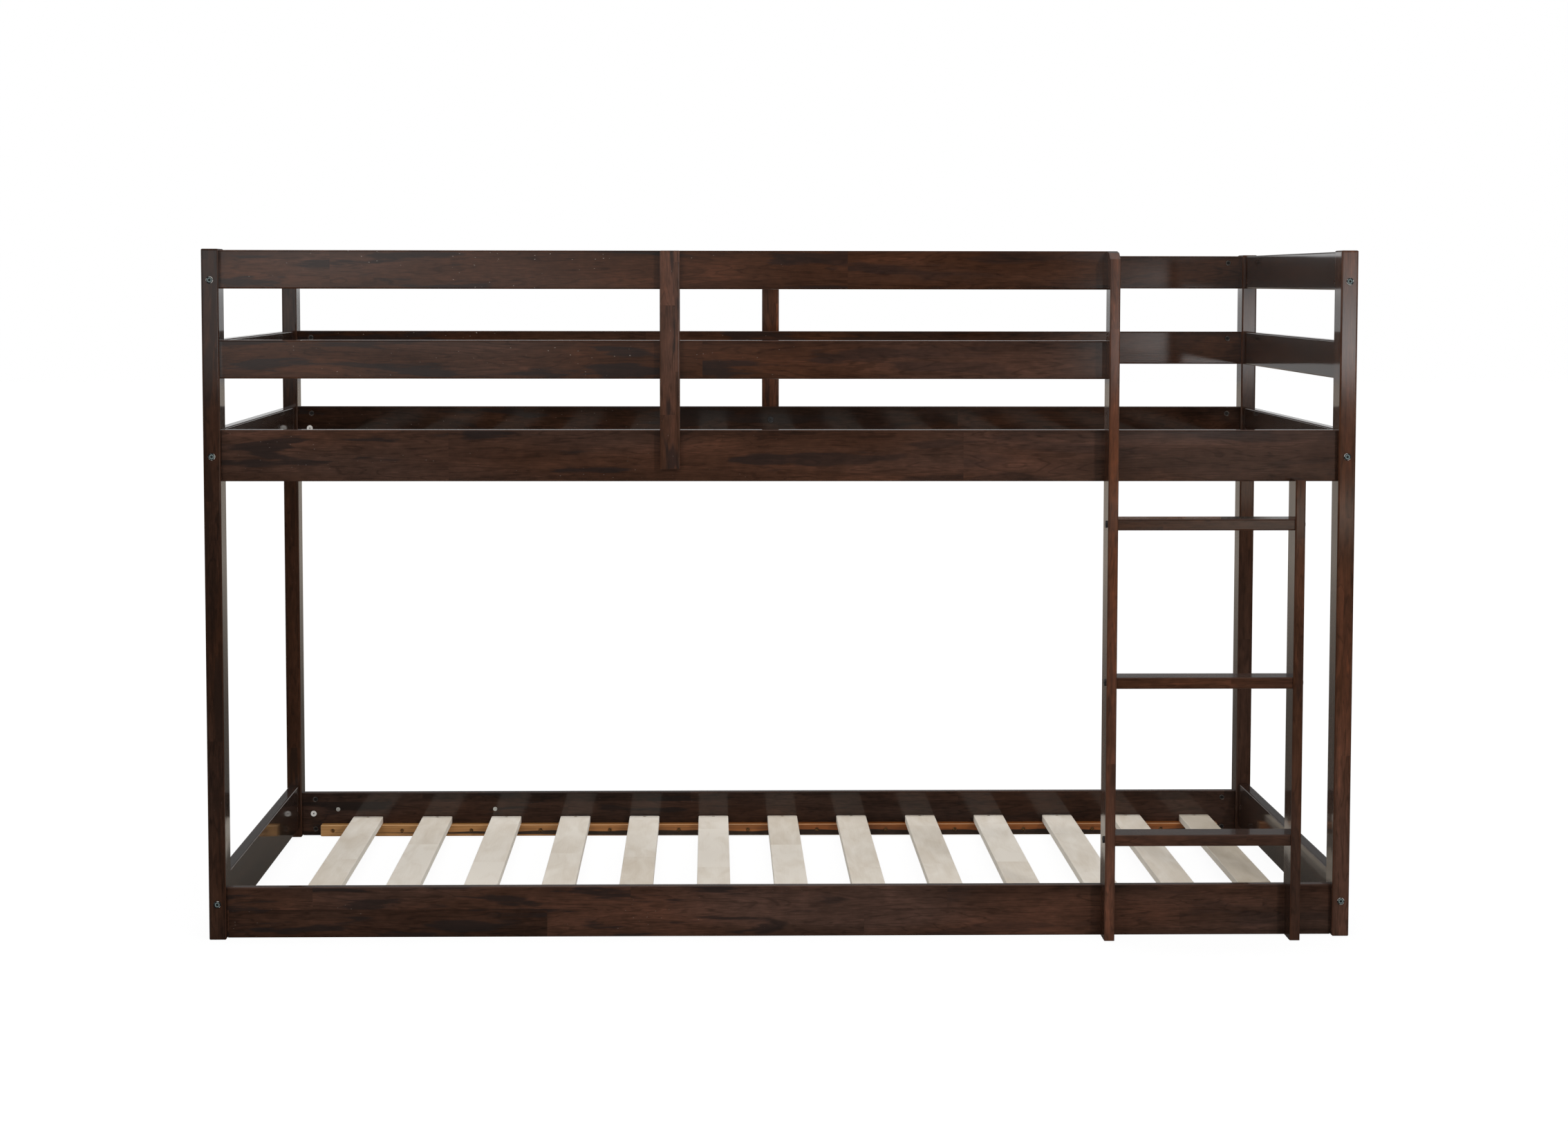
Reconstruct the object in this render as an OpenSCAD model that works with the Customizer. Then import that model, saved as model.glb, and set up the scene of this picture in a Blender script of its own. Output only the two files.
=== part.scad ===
// Bunk bed with ladder, for two twin mattresses.
// Millimetres. +X along the bed, +Y from the ladder side to the back, +Z up.
// The origin is on the floor, under the middle of the bed and its bolt heads.

/* [Overall] */
// Length over the posts' outer faces
bed_length = 2010; // [1670:5:2420]
// Width over the posts' front and back faces
bed_width = 1085; // [900:5:1310]
// Height of the posts
bed_height = 1210; // [1005:5:1460]

/* [Posts] */
// Size of a post along the bed
post_w = 30; // [24:1:40]
// Size of a post across the bed
post_d = 60; // [50:1:75]
// Radius of a post's eased edges
post_edge = 3; // [0.5:0.5:5]

/* [Rails] */
// Thickness of every rail
rail_t = 20; // [17:1:26]
// Height of the four side-level rails of a deck
side_rail_h = 90; // [74:1:110]
// Height of a guard rail
guard_rail_h = 67; // [55:1:82]
// Open gap under each guard rail
guard_gap = 89; // [70:1:110]
// Drop from the posts' top to the top guard rail
top_drop = 2; // [0:1:10]
// Setback of the long rails from the posts' outer faces
rail_recess = 18; // [14:1:22]
// Setback of the end rails from the posts' outer faces
end_recess = 5; // [0:1:8]
// Height of the lower end rails above the floor
lower_end_lift = 19; // [10:1:30]
// Radius of a rail's eased edges
rail_edge = 2.5; // [0.5:0.5:5]

/* [Guard supports] */
// Width of the upright board that stiffens each long guard
support_w = 35; // [28:1:45]
// Rise of the support's foot above the side rail's underside
support_lift = 22; // [10:1:30]
// Height of the support's bolt above the side rail's underside
support_bolt_up = 63; // [50:1:70]

/* [Ladder] */
// Thickness of a ladder upright
upright_t = 18; // [15:1:24]
// Depth of a ladder upright, front to back
upright_d = 68; // [57:1:82]
// Depth of the notches that take the rails
notch_d = 16; // [10:1:17]
// Clear width between the uprights
ladder_clear = 309; // [258:1:370]
// Gap between the right upright and the post beside it
ladder_post_gap = 63; // [30:1:100]
// Overlap of the short upright's tip in front of the upper side rail
short_tip = 5; // [0:1:12]
// Thickness of a tread
tread_t = 20; // [17:1:26]
// Setback of a tread from the uprights' front edges
tread_recess = 5; // [0:1:10]
// Height of the first tread's top
first_tread_top = 187; // [150:1:230]
// Drop from the upper side rail's underside to the last tread's top
last_tread_drop = 63; // [30:1:120]
// Height of the slope cut off the tall upright's front corner
tip_cut_h = 14; // [5:1:25]
// Length of that slope, front to back
tip_cut_d = 24; // [10:1:40]

/* [Decks] */
// Width of a slat
slat_w = 62; // [50:1:76]
// Thickness of a slat
slat_t = 14; // [11:1:18]
// Gap from the left end rail to the first slat
slat_gap_left = 110; // [60:1:140]
// Gap from the last slat to the right end rail
slat_gap_right = 60; // [40:1:90]
// Clearance from a slat's end to the side rail
slat_end_clear = 2; // [1:0.5:6]
// Radius of a slat's corners in plan
slat_corner = 5; // [1:0.5:10]
// Height of a slat ledger
ledger_h = 24; // [20:1:30]
// Depth of a slat ledger
ledger_d = 25; // [20:1:32]
// Rise of a ledger above the side rail's underside
ledger_lift = 2; // [0:1:6]
// Gap from a ledger's end to the post
ledger_end_gap = 39; // [36:1:60]

/* [Hardware] */
// Diameter of the machine bolts
bolt_d = 6; // [5:0.5:8]
// Diameter of a bolt's flat head
head_d = 12.5; // [10:0.5:16]
// Height of a bolt's flat head
head_h = 2.5; // [1.5:0.5:4]
// Size of the hexagon socket across its flats
socket_af = 4; // [3:0.5:5]
// Diameter of a barrel nut
nut_d = 10.5; // [9:0.5:14]
// Length of a barrel nut
nut_len = 16; // [14:0.5:17]
// Distance from a rail's end to its barrel nut
nut_inset = 26; // [20:1:30]
// Diameter of a wooden dowel
dowel_d = 8; // [6:0.5:10]
// Diameter of a wood screw's shank
screw_d = 3.5; // [3:0.5:5]
// Diameter of a wood screw's countersunk head
screw_head_d = 6.6; // [5.6:0.2:10]
// Distance from a slat's end to its screw
slat_screw_inset = 8; // [6:0.5:14]
// Diameter of the ring plugs at the head end of the back rails
plug_d = 12; // [9:0.5:14]

/* [Hidden] */
$fn = 48;
slat_count = 13;
tread_count = 3;
cut = 1;                // how far a cut runs past the face it opens
bolt_fit = 0.3;         // radial clearance round a bolt
nut_fit = 0.2;          // radial clearance round a barrel nut
nut_sink = 0.8;         // a barrel nut lies this far below the face
nut_chamfer = 0.8;      // at the mouth of its hole
glue_fit = 0.1;         // radial clearance round a dowel, screw or plug
ladder_fit = 0.5;       // clearance above and below a rail in its notch
nut_mid = rail_t / 2;   // depth of a barrel nut's cross hole below the rail's face

// Places along the bed
outer_x = bed_length / 2;
inner_x = outer_x - post_w;
end_rail_x = outer_x - end_recess - rail_t;
end_mid_x = end_rail_x + rail_t / 2;
nut_x = inner_x - nut_inset;
upright_right_x = inner_x - ladder_post_gap - upright_t;
upright_left_x = upright_right_x - ladder_clear - upright_t;
guard_end_x = upright_left_x + upright_t;
front_support_x = (guard_end_x - inner_x) / 2;

// Places across the bed, from the posts' front faces
rail_y = rail_recess;
rail_mid_y = rail_y + rail_t / 2;
rail_in_y = rail_y + rail_t;
upright_back_y = rail_y + notch_d;
upright_front_y = upright_back_y - upright_d;
end_rail_len = bed_width - 2 * post_d;
slat_len = bed_width - 2 * (rail_in_y + slat_end_clear);
mid_y = (upright_front_y + bed_width + head_h) / 2;

// Heights
top_guard_z = bed_height - top_drop - guard_rail_h;
middle_guard_z = top_guard_z - guard_gap - guard_rail_h;
upper_z = middle_guard_z - guard_gap - side_rail_h;
rails_top_z = top_guard_z + guard_rail_h;
deck_zs = [0, upper_z];
guard_zs = [middle_guard_z, top_guard_z];
slat_z = ledger_lift + ledger_h;
support_z = upper_z + support_lift;
short_upright_top = upper_z + short_tip;
last_tread_top = upper_z - last_tread_drop;
tread_pitch = (last_tread_top - first_tread_top) / (tread_count - 1);

// Slats and what fixes them
slat_first_x = slat_gap_left + slat_w / 2 - end_rail_x;
slat_last_x = end_rail_x - slat_gap_right - slat_w / 2;
slat_pitch = (slat_last_x - slat_first_x) / (slat_count - 1);
slat_xs = [for (i = [0 : slat_count - 1]) slat_first_x + i * slat_pitch];
slat_screw_len = slat_t + 16;
ledger_screw_xs = [for (x = slat_xs) x - slat_pitch / 2];
ledger_screw_sink = 5;
ledger_screw_z = ledger_lift + ledger_h / 2;
ledger_screw_len = ledger_d - ledger_screw_sink + rail_t - 6;
screw_tip = 4;          // length of a wood screw's point
screw_cone = 3;         // depth of its countersunk head

// Rows of bolts and dowels at the joints
side_bolt_inset = 14;   // from a side rail's edges
guard_bolt_up = 53;     // from a guard rail's underside
guard_dowel_up = 30;
side_bolt_ups = [side_bolt_inset, side_rail_h - side_bolt_inset];
side_bolt_zs = [for (z = deck_zs, up = side_bolt_ups) z + up];
guard_bolt_zs = [for (z = guard_zs) z + guard_bolt_up];
guard_dowel_zs = [for (z = guard_zs) z + guard_dowel_up];
end_side_zs = [lower_end_lift, upper_z];
end_side_bolt_up = side_rail_h / 2 - 1;
end_top_bolt_up = 15;
end_top_dowel_up = 48;
end_middle_dowel_ups = [17, 50];
end_side_bolt_zs = [for (z = end_side_zs) z + end_side_bolt_up];
end_side_dowel_zs = [for (z = end_side_zs, up = side_bolt_ups) z + up];
end_bolt_zs = concat(end_side_bolt_zs, [top_guard_z + end_top_bolt_up]);
end_dowel_zs = concat(
  end_side_dowel_zs,
  [for (up = end_middle_dowel_ups) middle_guard_z + up],
  [top_guard_z + end_top_dowel_up]
);

// Hardware sizes that follow from the rest
head_round = 1;
socket_depth = 3;
bolt_past_nut = 9;      // a bolt runs this far past its barrel nut's middle
side_bolt_len = post_w + nut_inset + bolt_past_nut;
face_bolt_len = post_d + nut_inset + bolt_past_nut;
nut_slot_w = 1.6;
nut_slot_depth = 2;
nut_hole_depth = nut_sink + nut_len + 0.2;
dowel_len = 40;
dowel_in_post = dowel_len / 2;
guard_dowel_in_post = 12;
dowel_end = 1;          // chamfer on a dowel's ends
dowel_room = 0.5;       // a dowel hole is this much deeper than the dowel
tread_bolt_y = upright_front_y + 19;
tread_dowel_y = upright_back_y - 17;
tread_bolt_len = upright_t + 45;
ladder_bolt_len = rail_t + 38;
ladder_low_bolt_up = 65;
support_t = rail_recess;
support_bolt_len = rail_t + support_t - 4;
plug_len = 12;
plug_lip = 0.8;
plug_bore = 3;
plug_x = inner_x - 22;
plug_ups = [side_rail_h / 2 + 1, side_rail_h / 2];
face_screw_xs = [-inner_x + 73, -inner_x + 400];
face_screw_up = 55;
face_screw_d = 8.5;
face_screw_len = 16;

espresso = "#35231d";
raw_wood = "#d8cfc0";
honey_wood = "#b3702f";
dark_steel = "#33343a";
zinc = "#b9bcc0";
yellow_zinc = "#c9ab6a";
white_nylon = "#f2f2f2";

lower_slats = [for (i = [1 : slat_count]) str("lower_slat_", i < 10 ? "0" : "", i)];

// ---- Placing -------------------------------------------------------------

// Moves the bed so that its footprint is centred on the origin
module place() translate([0, -mid_y, 0]) children();

// Builds a piece of the right end, or its mirror image at the left end
module at_end(side) {
  if (side > 0) children();
  else mirror([1, 0, 0]) children();
}

// Builds a piece of the front, or its mirror image at the back
module at_front(side) {
  if (side > 0) children();
  else translate([0, bed_width, 0]) mirror([0, 1, 0]) children();
}

// Points children that run along +Z along another axis
module along_x() rotate([0, 90, 0]) children();
module along_minus_x() rotate([0, -90, 0]) children();
module along_y() rotate([-90, 0, 0]) children();
module along_minus_y() rotate([90, 0, 0]) children();
module downwards() rotate([180, 0, 0]) children();

// ---- Boards --------------------------------------------------------------

// Rectangle from the origin with rounded corners
module eased(w, h, r) {
  translate([r, 0]) square([w - 2 * r, h]);
  translate([0, r]) square([w, h - 2 * r]);
  for (x = [r, w - r], y = [r, h - r])
    translate([x, y]) circle(r);
}

// Board along X with a t by h section, eased along its four long edges
module board_x(length, t, h, r)
  rotate([90, 0, 90]) linear_extrude(length) eased(t, h, r);

// Board along Y with a t by h section
module board_y(length, t, h, r)
  translate([0, length, 0]) rotate([90, 0, 0]) linear_extrude(length) eased(t, h, r);

// Upright block, eased along all its edges
module block_z(w, d, h, r)
  intersection() {
    linear_extrude(h) eased(w, d, r);
    board_x(w, d, h, r);
    board_y(d, w, h, r);
  }

// ---- Hardware, each running along +Z from the face it sits on ------------

module bolt(length)
  difference() {
    union() {
      cylinder(d = bolt_d, h = length);
      rotate_extrude() {
        translate([0, -head_h + head_round]) square([head_d / 2, head_h - head_round]);
        translate([0, -head_h]) square([head_d / 2 - head_round, head_h]);
        translate([head_d / 2 - head_round, -head_h + head_round]) circle(head_round);
      }
    }
    translate([0, 0, -head_h - cut])
      cylinder(d = socket_af / cos(30), h = socket_depth + cut, $fn = 6);
  }

module bolt_hole(length)
  translate([0, 0, -cut]) cylinder(d = bolt_d + 2 * bolt_fit, h = length + cut + bolt_fit);

// The cross hole runs along X, nut_mid below the face
module barrel_nut()
  difference() {
    translate([0, 0, nut_sink]) cylinder(d = nut_d, h = nut_len);
    translate([-nut_d, 0, nut_mid]) along_x()
      cylinder(d = bolt_d + 2 * glue_fit, h = 2 * nut_d);
    translate([-nut_d, -nut_slot_w / 2, nut_sink - cut])
      cube([2 * nut_d, nut_slot_w, nut_slot_depth + cut]);
  }

module nut_hole() {
  hole_d = nut_d + 2 * nut_fit;
  translate([0, 0, -cut]) cylinder(d = hole_d, h = nut_hole_depth + cut);
  cylinder(d1 = hole_d + 2 * nut_chamfer, d2 = hole_d, h = nut_chamfer);
}

// Centred on the origin
module dowel(length = dowel_len)
  rotate_extrude() polygon([
    [0, -length / 2],
    [dowel_d / 2 - dowel_end, -length / 2],
    [dowel_d / 2, -length / 2 + dowel_end],
    [dowel_d / 2, length / 2 - dowel_end],
    [dowel_d / 2 - dowel_end, length / 2],
    [0, length / 2]
  ]);

// From the face into the wood
module dowel_hole(depth)
  translate([0, 0, -cut]) cylinder(d = dowel_d + 2 * glue_fit, h = depth + dowel_room + cut);

// Outline of a countersunk wood screw, or of its hole when grown
module screw_form(length, grow)
  rotate_extrude() polygon([
    [0, -grow],
    [screw_head_d / 2 + grow, -grow],
    [screw_head_d / 2 + grow, 0.5],
    [screw_d / 2 + grow, screw_cone + 0.5],
    [screw_d / 2 + grow, length - screw_tip],
    [0.4 + grow, length + grow],
    [0, length + grow]
  ]);

module screw(length)
  difference() {
    screw_form(length, 0);
    for (turn = [0, 90])
      rotate(turn) translate([-screw_d / 2, -0.5, -cut]) cube([screw_d, 1, cut + 1.5]);
  }

module screw_hole(length)
  screw_form(length, glue_fit);

// ---- Where the hardware goes ---------------------------------------------

module face_bolt_row()
  for (z = end_bolt_zs)
    translate([end_mid_x, 0, z]) along_y() children();

module side_bolt_row(zs)
  for (z = zs)
    translate([outer_x, rail_mid_y, z]) along_minus_x() children();

// The guard rails reach three of the four posts
function has_guards(end, front) = end < 0 || front < 0;
function side_zs(end, front) =
  concat(side_bolt_zs, has_guards(end, front) ? guard_bolt_zs : []);

// ---- Posts ---------------------------------------------------------------

module post(end, front)
  color(espresso) at_end(end) at_front(front)
    difference() {
      translate([inner_x, 0, 0]) block_z(post_w, post_d, bed_height, post_edge);
      face_bolt_row() bolt_hole(face_bolt_len);
      side_bolt_row(side_zs(end, front)) bolt_hole(side_bolt_len);
      for (z = end_dowel_zs)
        translate([end_mid_x, post_d, z]) along_minus_y() dowel_hole(dowel_in_post);
      if (has_guards(end, front))
        for (z = guard_dowel_zs)
          translate([inner_x, rail_mid_y, z]) along_x() dowel_hole(guard_dowel_in_post);
    }

module post_front_left() post(-1, 1);
module post_front_right() post(1, 1);
module post_back_left() post(-1, -1);
module post_back_right() post(1, -1);

// ---- Long rails ----------------------------------------------------------

// A rail at height z from the left post to right_x, with bolts at ups at the
// ends listed, and dowels at dowel_ups
module long_rail(front, z, h, right_x, ends, ups, dowel_ups)
  difference() {
    at_front(front)
      translate([-inner_x, rail_y, z]) board_x(inner_x + right_x, rail_t, h, rail_edge);
    for (end = ends) at_end(end) at_front(front) {
      side_bolt_row([for (up = ups) z + up]) bolt_hole(side_bolt_len);
      for (up = ups)
        translate([nut_x, rail_in_y, z + up]) along_minus_y() nut_hole();
      for (up = dowel_ups)
        translate([inner_x, rail_mid_y, z + up]) along_minus_x()
          dowel_hole(dowel_len - guard_dowel_in_post);
    }
    at_front(front) {
      if (z >= upper_z) support_bolt_at(front, z) bolt_hole(support_bolt_len);
      if (front > 0) ladder_bolts_at(z) bolt_hole(ladder_bolt_len);
      if (h == side_rail_h)
        translate([0, 0, z]) ledger_screw_row() screw_hole(ledger_screw_len);
    }
  }

module side_rail(front, z)
  long_rail(front, z, side_rail_h, inner_x, [-1, 1], side_bolt_ups, []);

module guard_rail(front, z, right_x, ends)
  long_rail(front, z, guard_rail_h, right_x, ends, [guard_bolt_up], [guard_dowel_up]);

// The hole of a guard support's bolt, from the rail's inner face
function support_x(front) = front > 0 ? front_support_x : 0;
function support_bolt_z(z) = z == upper_z ? z + support_bolt_up : z + guard_rail_h / 2;
module support_bolt_at(front, z)
  translate([support_x(front), rail_in_y, support_bolt_z(z)]) along_minus_y() children();

// Bolts from a rail's inner face into the ladder's uprights
function upright_mid_x(tall) = (tall ? upright_left_x : upright_right_x) + upright_t / 2;
function ladder_bolt_z(z) =
  z < middle_guard_z ? z + ladder_low_bolt_up : z + guard_rail_h / 2;
module ladder_bolt_at(tall, z)
  translate([upright_mid_x(tall), rail_in_y, ladder_bolt_z(z)]) along_minus_y() children();
module ladder_bolts_at(z) {
  ladder_bolt_at(true, z) children();
  if (z == 0) ladder_bolt_at(false, z) children();
}

module front_side_rail_lower() color(espresso) side_rail(1, 0);
module front_side_rail_upper()
  color(espresso)
    difference() {
      side_rail(1, upper_z);
      ladder_dowel_at() dowel_hole(dowel_in_post);
    }
module front_guard_rail_middle()
  color(espresso) guard_rail(1, middle_guard_z, guard_end_x, [-1]);
module front_guard_rail_top() color(espresso) guard_rail(1, top_guard_z, guard_end_x, [-1]);
module back_guard_rail_middle() color(espresso) guard_rail(-1, middle_guard_z, inner_x, [-1, 1]);
module back_guard_rail_top() color(espresso) guard_rail(-1, top_guard_z, inner_x, [-1, 1]);

// The back side rails also carry the ring plugs, and the lower one two screws
module plug_at(deck)
  translate([-plug_x, rail_in_y, deck_zs[deck] + plug_ups[deck]]) along_minus_y() children();
module plug_hole()
  translate([0, 0, -cut]) cylinder(d = plug_d - 4 + 2 * glue_fit, h = plug_len + cut);
module face_screws_at()
  for (x = face_screw_xs)
    translate([x, rail_in_y, face_screw_up]) along_minus_y() children();

module back_side_rail_lower()
  color(espresso)
    difference() {
      side_rail(-1, 0);
      at_front(-1) {
        plug_at(0) plug_hole();
        face_screws_at() translate([0, 0, -cut])
          cylinder(d = screw_d + 2 * glue_fit, h = face_screw_len + cut);
      }
    }
module back_side_rail_upper()
  color(espresso)
    difference() {
      side_rail(-1, upper_z);
      at_front(-1) plug_at(1) plug_hole();
    }

// ---- End rails -----------------------------------------------------------

module end_rail(end, z, h, bolt_ups, dowel_ups)
  color(espresso)
    difference() {
      at_end(end) translate([end_rail_x, post_d, z])
        board_y(end_rail_len, rail_t, h, rail_edge);
      for (front = [1, -1]) at_end(end) at_front(front) {
        for (up = bolt_ups) {
          translate([end_mid_x, 0, z + up]) along_y() bolt_hole(face_bolt_len);
          translate([end_rail_x, post_d + nut_inset, z + up]) along_x() nut_hole();
        }
        for (up = dowel_ups)
          translate([end_mid_x, post_d, z + up]) along_y() dowel_hole(dowel_len - dowel_in_post);
      }
    }

module end_side_rail(end, z)
  end_rail(end, z, side_rail_h, [end_side_bolt_up], side_bolt_ups);

module left_end_rail_lower() end_side_rail(-1, lower_end_lift);
module left_end_rail_upper() end_side_rail(-1, upper_z);
module left_end_rail_middle()
  end_rail(-1, middle_guard_z, guard_rail_h, [], end_middle_dowel_ups);
module left_end_rail_top()
  end_rail(-1, top_guard_z, guard_rail_h, [end_top_bolt_up], [end_top_dowel_up]);
module right_end_rail_lower() end_side_rail(1, lower_end_lift);
module right_end_rail_upper() end_side_rail(1, upper_z);
module right_end_rail_middle()
  end_rail(1, middle_guard_z, guard_rail_h, [], end_middle_dowel_ups);
module right_end_rail_top()
  end_rail(1, top_guard_z, guard_rail_h, [end_top_bolt_up], [end_top_dowel_up]);

// ---- Guard supports ------------------------------------------------------

module guard_support(front)
  color(espresso) at_front(front)
    difference() {
      translate([support_x(front) - support_w / 2, rail_y - support_t, support_z])
        block_z(support_w, support_t, rails_top_z - support_z, rail_edge);
      for (z = concat([upper_z], guard_zs))
        support_bolt_at(front, z) bolt_hole(support_bolt_len);
    }

module front_guard_support() guard_support(1);
module back_guard_support() guard_support(-1);

// ---- Ladder --------------------------------------------------------------

// Side view of a notch for the rails from low to high
module notch(low, high)
  translate([rail_y, low - ladder_fit])
    square([notch_d + cut, high - low + 2 * ladder_fit]);

// Upright blank with its long edges eased
module upright_blank(x, top)
  translate([x, upright_front_y, 0]) linear_extrude(top) eased(upright_t, upright_d, rail_edge);

// Cuts a side view, drawn in the YZ plane, through an upright at x
module through_upright(x)
  translate([x - cut, 0, 0]) rotate([90, 0, 90]) linear_extrude(upright_t + 2 * cut) children();

module tread_fixings(x_face)
  for (i = [0 : tread_count - 1])
    translate([x_face, 0, first_tread_top + i * tread_pitch - tread_t / 2]) children();

module ladder_dowel_at()
  translate([upright_mid_x(false), upright_back_y - notch_d / 2, upper_z]) children();

module ladder_upright_left()
  color(espresso)
    difference() {
      upright_blank(upright_left_x, rails_top_z);
      through_upright(upright_left_x) {
        notch(-cut, side_rail_h);
        notch(upper_z, upper_z + side_rail_h);
        notch(middle_guard_z, rails_top_z + cut);
        polygon([
          [upright_front_y - cut, rails_top_z + cut],
          [upright_front_y - cut, rails_top_z - tip_cut_h],
          [upright_front_y + 2, rails_top_z - tip_cut_h],
          [upright_front_y + tip_cut_d, rails_top_z - 3],
          [rail_y, rails_top_z],
          [rail_y, rails_top_z + cut]
        ]);
      }
      tread_fixings(upright_left_x) {
        translate([0, tread_bolt_y, 0]) along_x() bolt_hole(tread_bolt_len);
      }
      tread_fixings(guard_end_x)
        translate([0, tread_dowel_y, 0]) along_minus_x() dowel_hole(guard_dowel_in_post);
      for (z = concat(deck_zs, guard_zs)) ladder_bolt_at(true, z) bolt_hole(ladder_bolt_len);
    }

module ladder_upright_right()
  color(espresso)
    difference() {
      upright_blank(upright_right_x, short_upright_top);
      through_upright(upright_right_x) {
        notch(-cut, side_rail_h);
        notch(upper_z, short_upright_top + cut);
      }
      tread_fixings(upright_right_x + upright_t)
        translate([0, tread_bolt_y, 0]) along_minus_x() bolt_hole(tread_bolt_len);
      tread_fixings(upright_right_x)
        translate([0, tread_dowel_y, 0]) along_x() dowel_hole(guard_dowel_in_post);
      ladder_bolt_at(false, 0) bolt_hole(ladder_bolt_len);
      ladder_dowel_at() downwards() dowel_hole(dowel_in_post);
    }

module ladder_tread(i)
  color(espresso)
    difference() {
      translate([
        guard_end_x,
        upright_front_y + tread_recess,
        first_tread_top + i * tread_pitch - tread_t
      ])
        board_x(ladder_clear, upright_d - tread_recess, tread_t, rail_edge);
      tread_fixings(upright_left_x)
        translate([0, tread_bolt_y, 0]) along_x() bolt_hole(tread_bolt_len);
      tread_fixings(upright_right_x + upright_t)
        translate([0, tread_bolt_y, 0]) along_minus_x() bolt_hole(tread_bolt_len);
      tread_fixings(guard_end_x)
        translate([0, tread_dowel_y, 0]) along_x()
          dowel_hole(dowel_len - guard_dowel_in_post);
      tread_fixings(upright_right_x)
        translate([0, tread_dowel_y, 0]) along_minus_x()
          dowel_hole(dowel_len - guard_dowel_in_post);
    }

module ladder_tread_1() ladder_tread(0);
module ladder_tread_2() ladder_tread(1);
module ladder_tread_3() ladder_tread(2);

// ---- Decks ---------------------------------------------------------------

// Screws from the ledger's inner face into the rail, clear of the slats
module ledger_screw_row()
  for (x = ledger_screw_xs)
    translate([x, rail_in_y + ledger_d - ledger_screw_sink, ledger_screw_z])
      along_minus_y() children();

// Screws down through the slats' ends into the ledger
module slat_screw_at(x)
  translate([x, rail_in_y + slat_end_clear + slat_screw_inset, slat_z + slat_t])
    downwards() children();

module ledger(front, z)
  color(honey_wood) at_front(front) translate([0, 0, z])
    difference() {
      translate([ledger_end_gap - inner_x, rail_in_y, ledger_lift])
        block_z(2 * (inner_x - ledger_end_gap), ledger_d, ledger_h, rail_edge);
      for (x = slat_xs) slat_screw_at(x) screw_hole(slat_screw_len);
      ledger_screw_row() {
        screw_hole(ledger_screw_len);
        translate([0, 0, -ledger_screw_sink - cut])
          cylinder(d = screw_head_d + 2, h = ledger_screw_sink + cut);
      }
    }

module ledger_front_lower() ledger(1, 0);
module ledger_back_lower() ledger(-1, 0);
module ledger_front_upper() ledger(1, upper_z);
module ledger_back_upper() ledger(-1, upper_z);

module slat(x, z)
  color(raw_wood)
    difference() {
      translate([x - slat_w / 2, rail_in_y + slat_end_clear, z + slat_z])
        intersection() {
          linear_extrude(slat_t) eased(slat_w, slat_len, slat_corner);
          board_y(slat_len, slat_w, slat_t, 1.5);
        }
      for (front = [1, -1]) at_front(front) translate([0, 0, z])
        slat_screw_at(x) screw_hole(slat_screw_len);
    }

module upper_slats()
  for (x = slat_xs) slat(x, upper_z);

// ---- Hardware groups -----------------------------------------------------

module post_face_bolts()
  color(dark_steel)
    for (end = [1, -1], front = [1, -1]) at_end(end) at_front(front)
      face_bolt_row() bolt(face_bolt_len);

module post_side_bolts()
  color(dark_steel)
    for (end = [1, -1], front = [1, -1]) at_end(end) at_front(front)
      side_bolt_row(side_zs(end, front)) bolt(side_bolt_len);

module side_barrel_nuts()
  color(dark_steel)
    for (end = [1, -1], front = [1, -1]) at_end(end) at_front(front)
      for (z = side_zs(end, front))
        translate([nut_x, rail_in_y, z]) along_minus_y() barrel_nut();

module end_barrel_nuts()
  color(dark_steel)
    for (end = [1, -1], front = [1, -1]) at_end(end) at_front(front)
      for (z = end_bolt_zs)
        translate([end_rail_x, post_d + nut_inset, z]) along_x() rotate(90) barrel_nut();

module rail_dowels()
  color(raw_wood)
    for (end = [1, -1], front = [1, -1]) at_end(end) at_front(front) {
      for (z = end_dowel_zs)
        translate([end_mid_x, post_d, z]) along_y() dowel();
      if (has_guards(end, front))
        for (z = guard_dowel_zs)
          translate([inner_x + guard_dowel_in_post - dowel_len / 2, rail_mid_y, z])
            along_x() dowel();
    }

module ladder_dowels()
  color(raw_wood) {
    tread_fixings(guard_end_x - guard_dowel_in_post + dowel_len / 2)
      translate([0, tread_dowel_y, 0]) along_x() dowel();
    tread_fixings(upright_right_x + guard_dowel_in_post - dowel_len / 2)
      translate([0, tread_dowel_y, 0]) along_x() dowel();
    ladder_dowel_at() dowel();
  }

module tread_bolts()
  color(dark_steel) {
    tread_fixings(upright_left_x)
      translate([0, tread_bolt_y, 0]) along_x() bolt(tread_bolt_len);
    tread_fixings(upright_right_x + upright_t)
      translate([0, tread_bolt_y, 0]) along_minus_x() bolt(tread_bolt_len);
  }

module ladder_rail_bolts()
  color(dark_steel)
    for (z = concat(deck_zs, guard_zs)) ladder_bolts_at(z) bolt(ladder_bolt_len);

module guard_support_bolts()
  color(dark_steel)
    for (front = [1, -1]) at_front(front)
      for (z = concat([upper_z], guard_zs))
        support_bolt_at(front, z) bolt(support_bolt_len);

module slat_screws(z)
  color(yellow_zinc)
    for (front = [1, -1]) at_front(front) translate([0, 0, z])
      for (x = slat_xs) slat_screw_at(x) screw(slat_screw_len);

module lower_slat_screws() slat_screws(0);
module upper_slat_screws() slat_screws(upper_z);

module ledger_screws()
  color(zinc)
    for (front = [1, -1], z = deck_zs) at_front(front) translate([0, 0, z])
      ledger_screw_row() screw(ledger_screw_len);

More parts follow.
